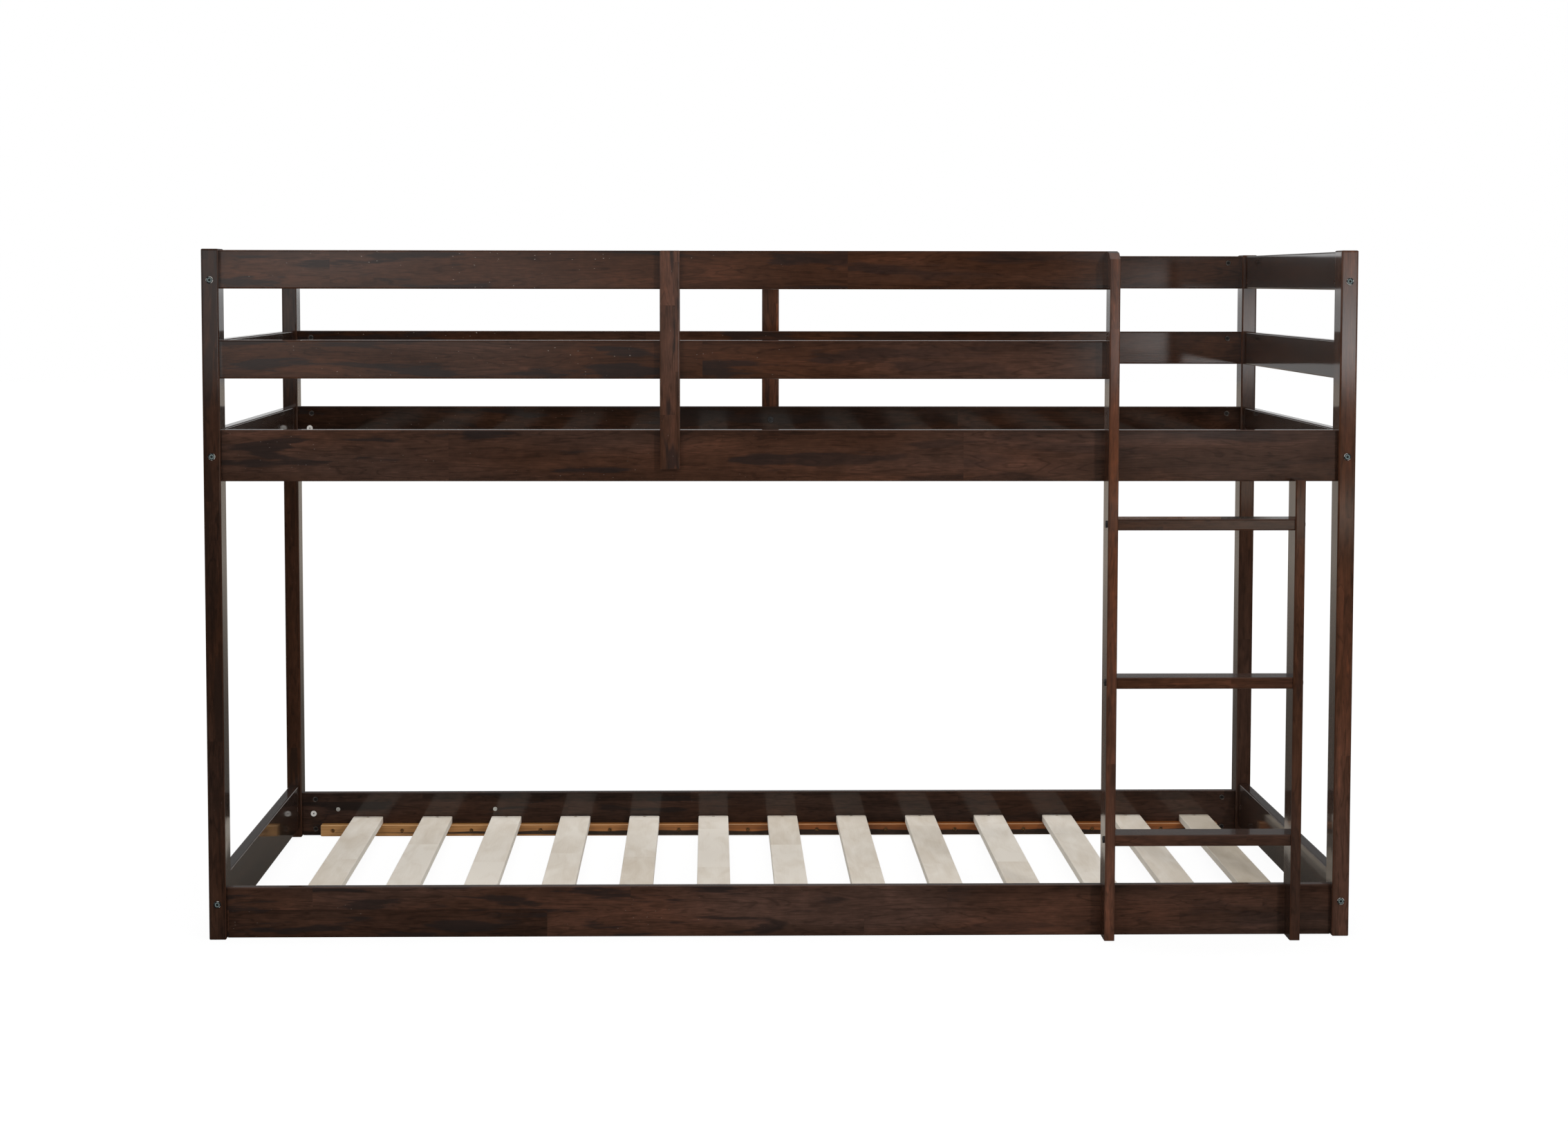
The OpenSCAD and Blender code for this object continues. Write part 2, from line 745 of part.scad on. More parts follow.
module rail_ring_plugs()
  color(white_nylon)
    for (deck = [0, 1]) at_front(-1) plug_at(deck)
      difference() {
        union() {
          translate([0, 0, -plug_lip]) cylinder(d = plug_d, h = plug_lip);
          cylinder(d = plug_d - 4, h = plug_len - cut);
        }
        translate([0, 0, -plug_lip - cut]) cylinder(d = plug_bore, h = plug_len - cut);
      }

module rail_face_screws()
  color(zinc)
    at_front(-1) face_screws_at()
      difference() {
        union() {
          translate([0, 0, -1.2]) cylinder(d = face_screw_d, h = 1.2);
          cylinder(d = screw_d, h = face_screw_len);
        }
        translate([-face_screw_d, -0.6, -1.2 - cut]) cube([2 * face_screw_d, 1.2, cut + 0.7]);
      }

// ---- Output --------------------------------------------------------------

place() post_front_left();
place() post_front_right();
place() post_back_left();
place() post_back_right();
place() front_side_rail_lower();
place() front_side_rail_upper();
place() front_guard_rail_middle();
place() front_guard_rail_top();
place() back_side_rail_lower();
place() back_side_rail_upper();
place() back_guard_rail_middle();
place() back_guard_rail_top();
place() left_end_rail_lower();
place() left_end_rail_upper();
place() left_end_rail_middle();
place() left_end_rail_top();
place() right_end_rail_lower();
place() right_end_rail_upper();
place() right_end_rail_middle();
place() right_end_rail_top();
place() front_guard_support();
place() back_guard_support();
place() ladder_upright_left();
place() ladder_upright_right();
place() ladder_tread_1();
place() ladder_tread_2();
place() ladder_tread_3();
place() ledger_front_lower();
place() ledger_back_lower();
place() ledger_front_upper();
place() ledger_back_upper();
for (i = [0 : slat_count - 1])
  place() slat(slat_xs[i], 0);
place() upper_slats();
place() post_face_bolts();
place() post_side_bolts();
place() side_barrel_nuts();
place() end_barrel_nuts();
place() rail_dowels();
place() ladder_dowels();
place() tread_bolts();
place() ladder_rail_bolts();
place() guard_support_bolts();
place() lower_slat_screws();
place() upper_slat_screws();
place() ledger_screws();
place() rail_ring_plugs();
place() rail_face_screws();
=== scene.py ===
"""Bunk bed with ladder: finishes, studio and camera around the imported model."""

import logging
import math
from dataclasses import dataclass, field, replace
from enum import Enum

import bpy
from mathutils import Matrix, Vector


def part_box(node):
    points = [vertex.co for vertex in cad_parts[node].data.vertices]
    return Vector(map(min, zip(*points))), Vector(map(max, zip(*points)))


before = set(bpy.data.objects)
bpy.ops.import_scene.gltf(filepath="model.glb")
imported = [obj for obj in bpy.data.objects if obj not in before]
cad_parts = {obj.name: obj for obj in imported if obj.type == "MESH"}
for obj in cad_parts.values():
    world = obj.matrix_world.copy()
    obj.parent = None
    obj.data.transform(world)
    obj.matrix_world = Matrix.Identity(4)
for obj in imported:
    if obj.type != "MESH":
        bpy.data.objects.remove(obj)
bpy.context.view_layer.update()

LOG = logging.getLogger("bunk_bed")
MM = 0.001
PARTS_APART = 6 * MM  # repeated parts lie at least this far apart

Colour = tuple[float, float, float, float]
Pair = tuple[float, float]
Triple = tuple[float, float, float]
Stops = tuple[tuple[float, str], ...]
Rows = tuple[Pair, ...]
Material = bpy.types.Material
Node = bpy.types.Node
Socket = bpy.types.NodeSocket
Tree = bpy.types.NodeTree
WHITE: Colour = (1.0, 1.0, 1.0, 1.0)


# ------------------------------ tools

def srgb(code: str) -> Colour:
    """Turns an sRGB hex colour into the linear colour that shaders take.

    Args:
        code: the colour as "#rrggbb".

    Returns:
        Linear red, green, blue and an alpha of one.
    """
    parts = [int(code[i:i + 2], 16) / 255 for i in (1, 3, 5)]
    linear = [part / 12.92 if part <= 0.04045 else ((part + 0.055) / 1.055) ** 2.4
              for part in parts]
    return (*linear, 1.0)


def per_metre(*sizes_mm: float) -> tuple[float, ...]:
    """Gives how often something of these sizes in millimetres repeats in a metre.

    Args:
        sizes_mm: one size for each axis.

    Returns:
        One scale for each axis.
    """
    return tuple(1000.0 / size for size in sizes_mm)


def pick(sockets: bpy.types.bpy_prop_collection, key: str | int | None) -> Socket:
    """Finds a socket that is in use.

    Args:
        sockets: a node's inputs or outputs.
        key: its name or index, or None for the first one in use.

    Returns:
        The socket.
    """
    if isinstance(key, int):
        return sockets[key]
    return next(s for s in sockets if s.enabled and key in (None, s.name))


def add(tree: Tree, kind: str, inputs: dict | None = None, **settings: object) -> Node:
    """Adds a node with its settings and links.

    Args:
        tree: the node tree.
        kind: the node's type without "ShaderNode".
        inputs: for each input's name or index, a value, a socket, or a node
            whose first output is linked.
        settings: the node's own properties.

    Returns:
        The node.
    """
    node = tree.nodes.new("ShaderNode" + kind)
    for name, value in settings.items():
        setattr(node, name, value)
    for key, value in (inputs or {}).items():
        target = pick(node.inputs, key)
        if isinstance(value, Node):
            value = pick(value.outputs, None)
        if isinstance(value, Socket):
            tree.links.new(value, target)
        else:
            target.default_value = value
    return node


def span(start: float, end: float, low: float = 0.0,
         high: float = 1.0) -> dict[str, float]:
    """Names the ends of a change from one level to another.

    Args:
        start: the value where it starts.
        end: the value where it ends.
        low: the level before it.
        high: the level after it.

    Returns:
        The inputs of a node that maps a range.
    """
    return {"From Min": start, "From Max": end, "To Min": low, "To Max": high}


def set_stops(ramp: Node, stops: Stops) -> None:
    """Puts these colours on a colour ramp.

    Args:
        ramp: the ramp's node.
        stops: pairs of position and colour, in rising order.
    """
    elements = ramp.color_ramp.elements
    for element, (position, code) in zip(elements, (stops[0], stops[-1])):
        element.position, element.color = position, srgb(code)
    for position, code in stops[1:-1]:
        elements.new(position).color = srgb(code)


def new_material(name: str) -> tuple[Material, Tree]:
    """Makes an empty node material.

    Args:
        name: the material's name.

    Returns:
        The material and its node tree.
    """
    material = bpy.data.materials.new(name)
    material.use_nodes = True
    material.node_tree.nodes.clear()
    return material, material.node_tree


def middles(node: str, axis: int) -> list[float]:
    """Finds where a node's repeated parts lie along an axis.

    Args:
        node: the node's name.
        axis: 0, 1 or 2 for X, Y or Z.

    Returns:
        The middle of each cluster of points, lowest first, in metres.
    """
    places = sorted(vertex.co[axis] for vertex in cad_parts[node].data.vertices)
    gaps = [i for i in range(1, len(places))
            if places[i] - places[i - 1] > PARTS_APART]
    return [(places[start] + places[end - 1]) / 2
            for start, end in zip([0, *gaps], [*gaps, len(places)])]


def dress(node: str, material: Material) -> None:
    """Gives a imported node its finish.

    Args:
        node: the node's name.
        material: the finish.
    """
    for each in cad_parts[node].material_slots:
        each.material = material
    LOG.info("%s wears %s", node, material.name)


# ------------------------------ finishes

class Grain(Enum):
    """The way a board's grain runs, as the turn that brings it to X."""

    ALONG_BED = (0.0, 0.0, 0.0)
    ACROSS_BED = (0.0, 0.0, -math.pi / 2)
    UPRIGHT = (0.0, math.pi / 2, 0.0)


@dataclass(frozen=True)
class Layer:
    """One scale of variation in a wood.

    Attributes:
        size: its grains' size along, through and across the board, in
            millimetres.
        weight: how far it shifts the wood's tone.
        detail: how many finer octaves it has.
        distortion: how much it winds.
    """

    size: Triple
    weight: float = 0.0
    detail: float = 2.0
    distortion: float = 0.0

    def build(self, tree: Tree, place: Node | Socket) -> Node:
        """Adds the noise.

        Args:
            tree: the node tree.
            place: the coordinates, grain along X.

        Returns:
            The noise node.
        """
        scaled = add(tree, "VectorMath", {0: place, 1: per_metre(*self.size)},
                     operation="MULTIPLY")
        return add(tree, "TexNoise", {
            "Vector": scaled, "Scale": 1.0, "Detail": self.detail,
            "Distortion": self.distortion})


# A band is where a pattern sets in and where it is full, with the levels there.
# Fibres, pores and dust are drawn coarser than real ones, which are too fine to show.

# Stained rubberwood: the log it is cut from
LOG_STEP: Triple = (3.7, 1.3, 0.057)  # metres of log for each unit of seed
LOG_SPREAD: Triple = (3.0, 0.4, 0.4)  # metres that one board's staves come from
STAVE_LIMITS = (0.55, 0.95)  # the numbers of the staves that turn darker
FIGURE = Layer((300, 30, 30), weight=0.32, detail=3.0, distortion=0.6)
FIBRE = Layer((34, 1.6, 1.6), weight=0.28, detail=3.0)
MOTTLE = Layer((17, 6, 6), weight=0.18)
CLOUD = Layer((105, 42, 42), weight=0.28, detail=3.0, distortion=0.8)
BROAD = Layer((700, 90, 90), weight=0.28, detail=1.0)
FLAME_LINES = 62.0  # contour lines for each unit of the figure
FLAME_BAND = span(0.7, 1.0, high=0.09)
PORES = Layer((11, 1.1, 1.1))
PORE_BAND = span(0.66, 0.74, high=0.06)

# Stained rubberwood: its stain
STAIN: Stops = ((0.22, "#1e110a"), (0.36, "#2e1b11"), (0.5, "#3c2519"),
                (0.64, "#4e3022"), (0.8, "#6b3f2b"))
# Painted shade towards a board's long edges: where it starts and how much tone it takes
EDGE_SHADE_START, EDGE_SHADE_DEPTH = 0.5, 0.07  # share of the half width, and tone lost
REDNESS = Layer((520, 130, 130), detail=1.0)
REDDER, DULLER = 1.04, 0.88  # the stain's saturation, at most and least
RED_LIMITS = (0.45, 0.62)
BLOTCHES = Layer((190, 27, 27), detail=3.0, distortion=0.3)
FRAYED = 0.16  # how far the fibres fray a blotch
BLOTCH_BAND = span(0.64, 0.69, high=0.75)
CALMER = span(0.4, -0.1, low=0.4)  # along the bed, in metres
END_GRAIN = "#150d0a"
END_BAND = span(0.8, 0.95, high=0.6)
WORN_EDGE = "#4e3022"
EDGE_BAND = span(0.97, 0.75, high=0.35)

# Stained rubberwood: its lacquer and the dust in it
DUST = "#cfc4ba"
DUST_PITCH: Triple = (13, 3.4, 3.4)  # millimetres from one fleck to the next
DUST_FLECK = span(0.11, 0.03)
DUST_KEPT = 0.7  # share of the flecks that don't show
DUST_DRIFTS = Layer((260, 40, 40))
DRIFT_LIMITS = (0.44, 0.6)
DUSTY_SIDE = span(0.15, -0.3)  # along the bed, in metres
WAVE = {"Strength": 0.3, "Distance": 2 * MM}
PORE_RELIEF, FILM_RELIEF = (2.0, 0.15 * MM), (1.0, 0.06 * MM)  # share, depth
WOOD_ROUGH = span(0.3, 0.7, 0.36, 0.5)
LACQUER = {"IOR": 1.45, "Specular IOR Level": 0.06, "Coat IOR": 1.45,
           "Coat Roughness": 0.07}

# Raw slats
SLAT_PIECE = (420.0, 144.0)  # millimetres, along a slat and across them
SLAT_SPREAD: Triple = (2.0, 0.6, 0.6)  # metres of log that the pieces come from
SLAT_FIGURE = Layer((150, 34, 34), weight=0.9, detail=3.0, distortion=0.8)
SLAT_FIBRE = Layer((70, 2.2, 2.2), weight=0.18)
SLAT_APART = 0.35  # how far one piece's tone differs
SLAT_TONES = (0.3, 0.9)
# Painted light on the slats' sides, which face along the bed:
SLAT_SIDES_PAINTED_LIGHT = "#f1ebe1"
LIT_SIDE_BAND = span(0.3, 0.9, high=0.6)
SAWN = {"Strength": 0.3, "Distance": 0.2 * MM}
RAW_WOOD = {"Roughness": 0.62, "Specular IOR Level": 0.35}

# Varnished ledgers
LEDGER_GRAIN = Layer((160, 4, 4), detail=3.0)
GRAIN_BAND = span(0.35, 0.65)
REDDER_END = span(-0.95, 0.1)  # along the bed, in metres
DECKS_APART = 0.8  # metres from one deck's ledgers to the other's
SCALLOP = 130.0  # millimetres from one scallop to the next
RUN_OF_STAIN, RUN_SHOWN = "#1f1c18", 0.93
RUN_SIDE = span(-0.5 * MM, 0.7 * MM)
# A painted highlight along the ledgers' arrises:
ARRIS_HIGHLIGHT = "#e2bf95"
ARRIS_HIGHLIGHT_BAND = span(0.985, 0.8, high=0.4)
LEDGER_RELIEF = {"Strength": 0.2, "Distance": 0.3 * MM}
VARNISH = {"Roughness": 0.5, "Coat Weight": 0.15, "Coat Roughness": 0.25}

# Small parts
MOTTLED = span(0.4, 0.7)
DULL_LIMITS = (0.3, 0.7)
SMOOTHER, DULLER_SPOT = 0.8, 1.3  # shares of the part's own roughness
CAST = {"Strength": 0.15, "Distance": 0.1 * MM}
TURNED = {"Strength": 0.1, "Distance": 0.05 * MM}
# Painted highlights on a turned part's rim, in spots:
RIM_HIGHLIGHT_BAND = span(0.82, 0.9)  # shares of the radius
RIM_SPOTS = Layer((6.0, 6.0, 6.0), detail=1.0)
RIM_SPOT_BAND = span(0.48, 0.56)
FINE = Layer((1.5, 1.5, 1.5))
BOLT_RADIUS, NUT_RADIUS = 6.25, 5.0  # millimetres
# A bolt head's rings from the middle out: a painted highlight in the socket, the socket
# painted dark as shade, the plating's teal grey, then a near-black ring painted as the
# shade of the hole round the head
BOLT_RINGS: Stops = ((0.0, "#8c908e"), (0.12, "#1b1c1e"), (0.34, "#161718"),
                     (0.4, "#7d8c8b"), (0.62, "#6c7a7a"), (0.72, "#191a1c"),
                     (0.9, "#1c1c1d"))
NUT_RINGS: Stops = ((0.0, "#2a2624"), (0.6, "#2e2a28"), (0.78, "#5d5854"),
                    (0.92, "#3a3633"))


def glued(tree: Tree, place: Node, across: str, size: Pair,
          spread: Triple, seed: float | None = None) -> tuple[Node, Node]:
    """Cuts each glued piece of wood from another part of the log.

    Args:
        tree: the node tree.
        place: the coordinates, grain along X.
        across: the axis across the pieces.
        size: from one piece to the next, along and across, in millimetres.
        spread: how much of the log the pieces come from, in metres.
        seed: the board's own number, or None for slats laid out around 0.

    Returns:
        A white noise node of the pieces, and the coordinates in the log.
    """
    along_grain, across_grain = per_metre(*size)
    slats = seed is None
    apart = add(tree, "SeparateXYZ", {0: place})
    row = add(tree, "Math", {0: add(tree, "Math", {
        0: apart.outputs[across], 1: across_grain, 2: 0.5 if slats else 0.0},
        operation="MULTIPLY_ADD")}, operation="FLOOR")
    shift = add(tree, "TexWhiteNoise", {"W": row}, noise_dimensions="1D")
    column = add(tree, "Math", {0: add(tree, "Math", {
        0: apart.outputs["X"], 1: along_grain, 2: shift.outputs["Value"]},
        operation="MULTIPLY_ADD")}, operation="FLOOR")
    piece = add(tree, "TexWhiteNoise", {"Vector": add(tree, "CombineXYZ", {
        "X": row, "Y": column, "Z": seed or 0.0})},
        noise_dimensions="2D" if slats else "3D")
    return piece, add(tree, "VectorMath", {0: place, 1: add(tree, "VectorMath", {
        0: piece.outputs["Color"], 1: spread}, operation="MULTIPLY")},
        operation="ADD")


def facing(tree: Tree, coords: Node) -> Node:
    """Separates how far a face is turned to each axis, either way."""
    return add(tree, "SeparateXYZ", {0: add(tree, "VectorMath", {
        0: coords.outputs["Normal"]}, operation="ABSOLUTE")})


@dataclass(frozen=True)
class Cut:
    """What every step of one stained board's finish reads."""

    tree: Tree
    coords: Node
    place: Node  # the bed's coordinates, separated
    grained: Node  # the board's coordinates, grain along X
    stave: Node  # each glued stave's own number
    log: Node  # the coordinates in the log
    fibre: Node
    broad: Node


@dataclass(frozen=True)
class StainedWood:
    """Finger-jointed rubberwood, stained dark walnut and lacquered.

    The stain sinks in unevenly, so blotches, flames and whole staves read
    darker, and a clear lacquer gives clean reflections over the soft wood.

    Attributes:
        grain: the way the grain runs.
        seed: where in the endless log this board is cut.
        tone: how far from dark to pale the board lies, 0 to 1.
        dust: how much pale dust is caught in the lacquer, 0 to 1.
        stave: length and width of a glued stave, in millimetres.
        joints: how far one stave's tone differs from the next.
        relief: how much of the wood's pores shows in the lacquer, 0 to 1.
        pooled: the colour where the stain sank in deepest.
        gloss: how much lacquer lies on the board, 0 to 1.
        red: how red the stain came out, 1 being the usual.
        board: the node that wears it.
    """

    grain: Grain
    seed: float
    tone: float = 0.5
    dust: float = 0.3
    stave: Pair = (340.0, 42.0)
    joints: float = 0.1
    relief: float = 0.1
    pooled: str = "#1d1817"
    gloss: float = 0.8
    red: float = 1.0
    board: str = ""

    def build(self) -> Material:
        """Makes the material."""
        material, tree = new_material(f"{self.board}_stained_rubberwood")
        cut = self._cut(tree)
        colour = self._stained(cut, self._tone(cut))
        colour = self._dusted(cut, self._ended(cut, colour))
        add(tree, "OutputMaterial", {"Surface": self._lacquered(cut, colour)})
        return material

    def _cut(self, tree: Tree) -> Cut:
        """Cuts the board from the log.

        Args:
            tree: the node tree.

        Returns:
            What the steps of the finish read.
        """
        coords = add(tree, "TexCoord")
        place = add(tree, "SeparateXYZ", {0: coords.outputs["Object"]})
        grained = add(tree, "Mapping", {
            "Vector": coords.outputs["Object"], "Rotation": self.grain.value,
            "Location": [self.seed * step for step in LOG_STEP]})
        stave, log = glued(tree, grained, "Z", self.stave, LOG_SPREAD, self.seed)
        return Cut(tree, coords, place, grained, stave, log,
                   FIBRE.build(tree, log), BROAD.build(tree, grained))

    def _tone(self, cut: Cut) -> Node:
        """Finds how far towards the pale end of the stain each spot lies.

        Args:
            cut: what the finish reads.

        Returns:
            A node that gives the tone, 0 to 1.
        """
        tree = cut.tree
        figure = FIGURE.build(tree, cut.log)
        flame = add(tree, "MapRange", {
            "Value": add(tree, "Math", {0: add(tree, "Math", {
                0: figure, 1: FLAME_LINES}, operation="MULTIPLY")}, operation="SINE"),
            **FLAME_BAND})
        # Open pores hold the stain as short dark dashes
        pore = add(tree, "MapRange", {"Value": PORES.build(tree, cut.log), **PORE_BAND})
        dark_stave = add(tree, "MapRange", {
            "Value": cut.stave.outputs["Value"],
            **span(*STAVE_LIMITS, high=self.joints)})
        tone = self.tone
        for darker in (flame, pore, dark_stave, self._edge_shade(cut)):
            tone = add(tree, "Math", {0: tone, 1: darker}, operation="SUBTRACT")
        for noise, layer in (
                (figure, FIGURE), (cut.fibre, FIBRE), (cut.broad, BROAD),
                (MOTTLE.build(tree, cut.log), MOTTLE),
                (CLOUD.build(tree, cut.log), CLOUD)):
            centred = add(tree, "Math", {0: noise, 1: 0.5}, operation="SUBTRACT")
            tone = add(tree, "Math", {0: centred, 1: layer.weight, 2: tone},
                       operation="MULTIPLY_ADD")
        return tone

    def _edge_shade(self, cut: Cut) -> Node:
        """Paints shade towards a board's long edges, darker nearer the edge.

        Args:
            cut: what the finish reads.

        Returns:
            How far the tone sinks.
        """
        axis = 0 if self.grain is Grain.UPRIGHT else 2
        low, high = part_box(self.board)
        middle, half = (low[axis] + high[axis]) / 2, (high[axis] - low[axis]) / 2
        # Painted shade: the tone sinks towards the long edges
        away = add(cut.tree, "Math", {0: add(cut.tree, "Math", {
            0: cut.place.outputs["XYZ"[axis]], 1: middle}, operation="SUBTRACT")},
            operation="ABSOLUTE")
        return add(cut.tree, "MapRange", {
            "Value": away, **span(half * EDGE_SHADE_START, half, high=EDGE_SHADE_DEPTH)})

    def _stained(self, cut: Cut, tone: Node) -> Node:
        """Turns the tone into the stain's colour, with its cold, dark blotches.

        Args:
            cut: what the finish reads.
            tone: how far towards the pale end a spot lies.

        Returns:
            The colour.
        """
        ramp = add(cut.tree, "ValToRGB", {"Fac": tone})
        set_stops(ramp, STAIN)
        # The red of the stain comes and goes along a board
        red = add(cut.tree, "MapRange", {
            "Value": REDNESS.build(cut.tree, cut.grained),
            **span(*RED_LIMITS, REDDER * self.red, DULLER * self.red)})
        stained = add(cut.tree, "HueSaturation", {
            "Saturation": red, "Color": ramp.outputs["Color"]})
        # Where the stain sank in deep, the fibres fray the blotches' edges
        blotch = add(cut.tree, "Math", {
            0: cut.fibre, 1: FRAYED, 2: BLOTCHES.build(cut.tree, cut.log)},
            operation="MULTIPLY_ADD")
        deep = add(cut.tree, "MapRange", {"Value": blotch, **BLOTCH_BAND})
        # The boards are calmer towards the ladder end
        calmer = add(cut.tree, "MapRange", {"Value": cut.place.outputs["X"], **CALMER})
        return add(cut.tree, "Mix", {
            "Factor": add(cut.tree, "Math", {0: deep, 1: calmer}, operation="MULTIPLY"),
            "A": stained, "B": srgb(self.pooled)}, data_type="RGBA")

    def _ended(self, cut: Cut, colour: Node) -> Node:
        """Darkens end grain and lets worn edges show warmer.

        Args:
            cut: what the finish reads.
            colour: the stain's colour.

        Returns:
            The colour with its ends and edges.
        """
        turned = facing(cut.tree, cut.coords)
        axis = {Grain.ALONG_BED: "X", Grain.ACROSS_BED: "Y", Grain.UPRIGHT: "Z"}
        end = add(cut.tree, "MapRange", {
            "Value": turned.outputs[axis[self.grain]], **END_BAND})
        ended = add(cut.tree, "Mix", {
            "Factor": end, "A": colour, "B": srgb(END_GRAIN)}, data_type="RGBA")
        # On a rounded edge, no axis holds nearly all of the normal
        most = add(cut.tree, "Math", {0: add(cut.tree, "Math", {
            0: turned.outputs["X"], 1: turned.outputs["Y"]}, operation="MAXIMUM"),
            1: turned.outputs["Z"]}, operation="MAXIMUM")
        edge = add(cut.tree, "MapRange", {"Value": most, **EDGE_BAND})
        return add(cut.tree, "Mix", {
            "Factor": edge, "A": ended, "B": srgb(WORN_EDGE)}, data_type="RGBA")

    def _dusted(self, cut: Cut, colour: Node) -> Node:
        """Scatters pale dust over the bed's left half, caught in the wet lacquer.

        Args:
            cut: what the finish reads.
            colour: the wood's colour.

        Returns:
            The colour with its flecks.
        """
        tree = cut.tree
        flecks = add(tree, "TexVoronoi", {"Vector": add(tree, "VectorMath", {
            0: cut.grained, 1: per_metre(*DUST_PITCH)}, operation="MULTIPLY"),
            "Scale": 1.0})
        mask = add(tree, "MapRange", {
            "Value": flecks.outputs["Distance"], **DUST_FLECK})
        kept = add(tree, "Math", {0: add(tree, "SeparateColor", {
            0: flecks.outputs["Color"]}), 1: DUST_KEPT}, operation="GREATER_THAN")
        drifts = add(tree, "MapRange", {
            "Value": DUST_DRIFTS.build(tree, cut.grained),
            **span(*DRIFT_LIMITS, high=self.dust)})
        left = add(tree, "MapRange", {"Value": cut.place.outputs["X"], **DUSTY_SIDE})
        for share in (kept, drifts, left):
            mask = add(tree, "Math", {0: mask, 1: share}, operation="MULTIPLY")
        return add(tree, "Mix", {
            "Factor": mask, "A": colour, "B": srgb(DUST)}, data_type="RGBA")

    def _lacquered(self, cut: Cut, colour: Node) -> Node:
        """Puts the clear lacquer over the wood.

        Args:
            cut: what the finish reads.
            colour: the wood's colour.

        Returns:
            The shader.
        """
        tree = cut.tree
        wave = add(tree, "Bump", {"Height": cut.broad, **WAVE})
        bump, film = (
            add(tree, "Bump", {"Height": cut.fibre, "Strength": self.relief * share,
                               "Distance": depth, "Normal": wave})
            for share, depth in (PORE_RELIEF, FILM_RELIEF))
        rough = add(tree, "MapRange", {"Value": cut.fibre, **WOOD_ROUGH})
        return add(tree, "BsdfPrincipled", {
            "Base Color": colour, "Roughness": rough, "Normal": bump,
            "Coat Normal": film, "Coat Weight": self.gloss, **LACQUER})


@dataclass(frozen=True)
class SlatWood:
    """Planed softwood, left raw: pale and matt, each glued piece a little apart.

    Attributes:
        name: the material's name.
        dark: the colour of its late wood.
        pale: the colour of its early wood.
    """

    name: str = "raw_planed_pine"
    dark: str = "#cdc0ae"
    pale: str = "#e8e1d6"

    def build(self) -> Material:
        """Makes the material."""
        material, tree = new_material(self.name)
        coords = add(tree, "TexCoord")
        place = add(tree, "Mapping", {
            "Vector": coords.outputs["Object"], "Rotation": Grain.ACROSS_BED.value})
        piece, log = glued(tree, place, "Y", SLAT_PIECE, SLAT_SPREAD)
        fibre = SLAT_FIBRE.build(tree, log)
        tone = 0.0
        for source, weight in ((fibre, SLAT_FIBRE.weight),
                               (SLAT_FIGURE.build(tree, log), SLAT_FIGURE.weight),
                               (piece.outputs["Value"], SLAT_APART)):
            tone = add(tree, "Math", {0: source, 1: weight, 2: tone},
                       operation="MULTIPLY_ADD")
        ramp = add(tree, "ValToRGB", {"Fac": tone})
        set_stops(ramp, tuple(zip(SLAT_TONES, (self.dark, self.pale))))
        # Painted light: the sides facing along the bed are painted paler than the
        # faces, as if lit
        side = add(tree, "MapRange", {
            "Value": facing(tree, coords).outputs["X"], **LIT_SIDE_BAND})
        colour = add(tree, "Mix", {
            "Factor": side, "A": ramp.outputs["Color"], "B": srgb(SLAT_SIDES_PAINTED_LIGHT)},
            data_type="RGBA")
        bump = add(tree, "Bump", {"Height": fibre, **SAWN})
        add(tree, "OutputMaterial", {"Surface": add(tree, "BsdfPrincipled", {
            "Base Color": colour, "Normal": bump, **RAW_WOOD})})
        return material


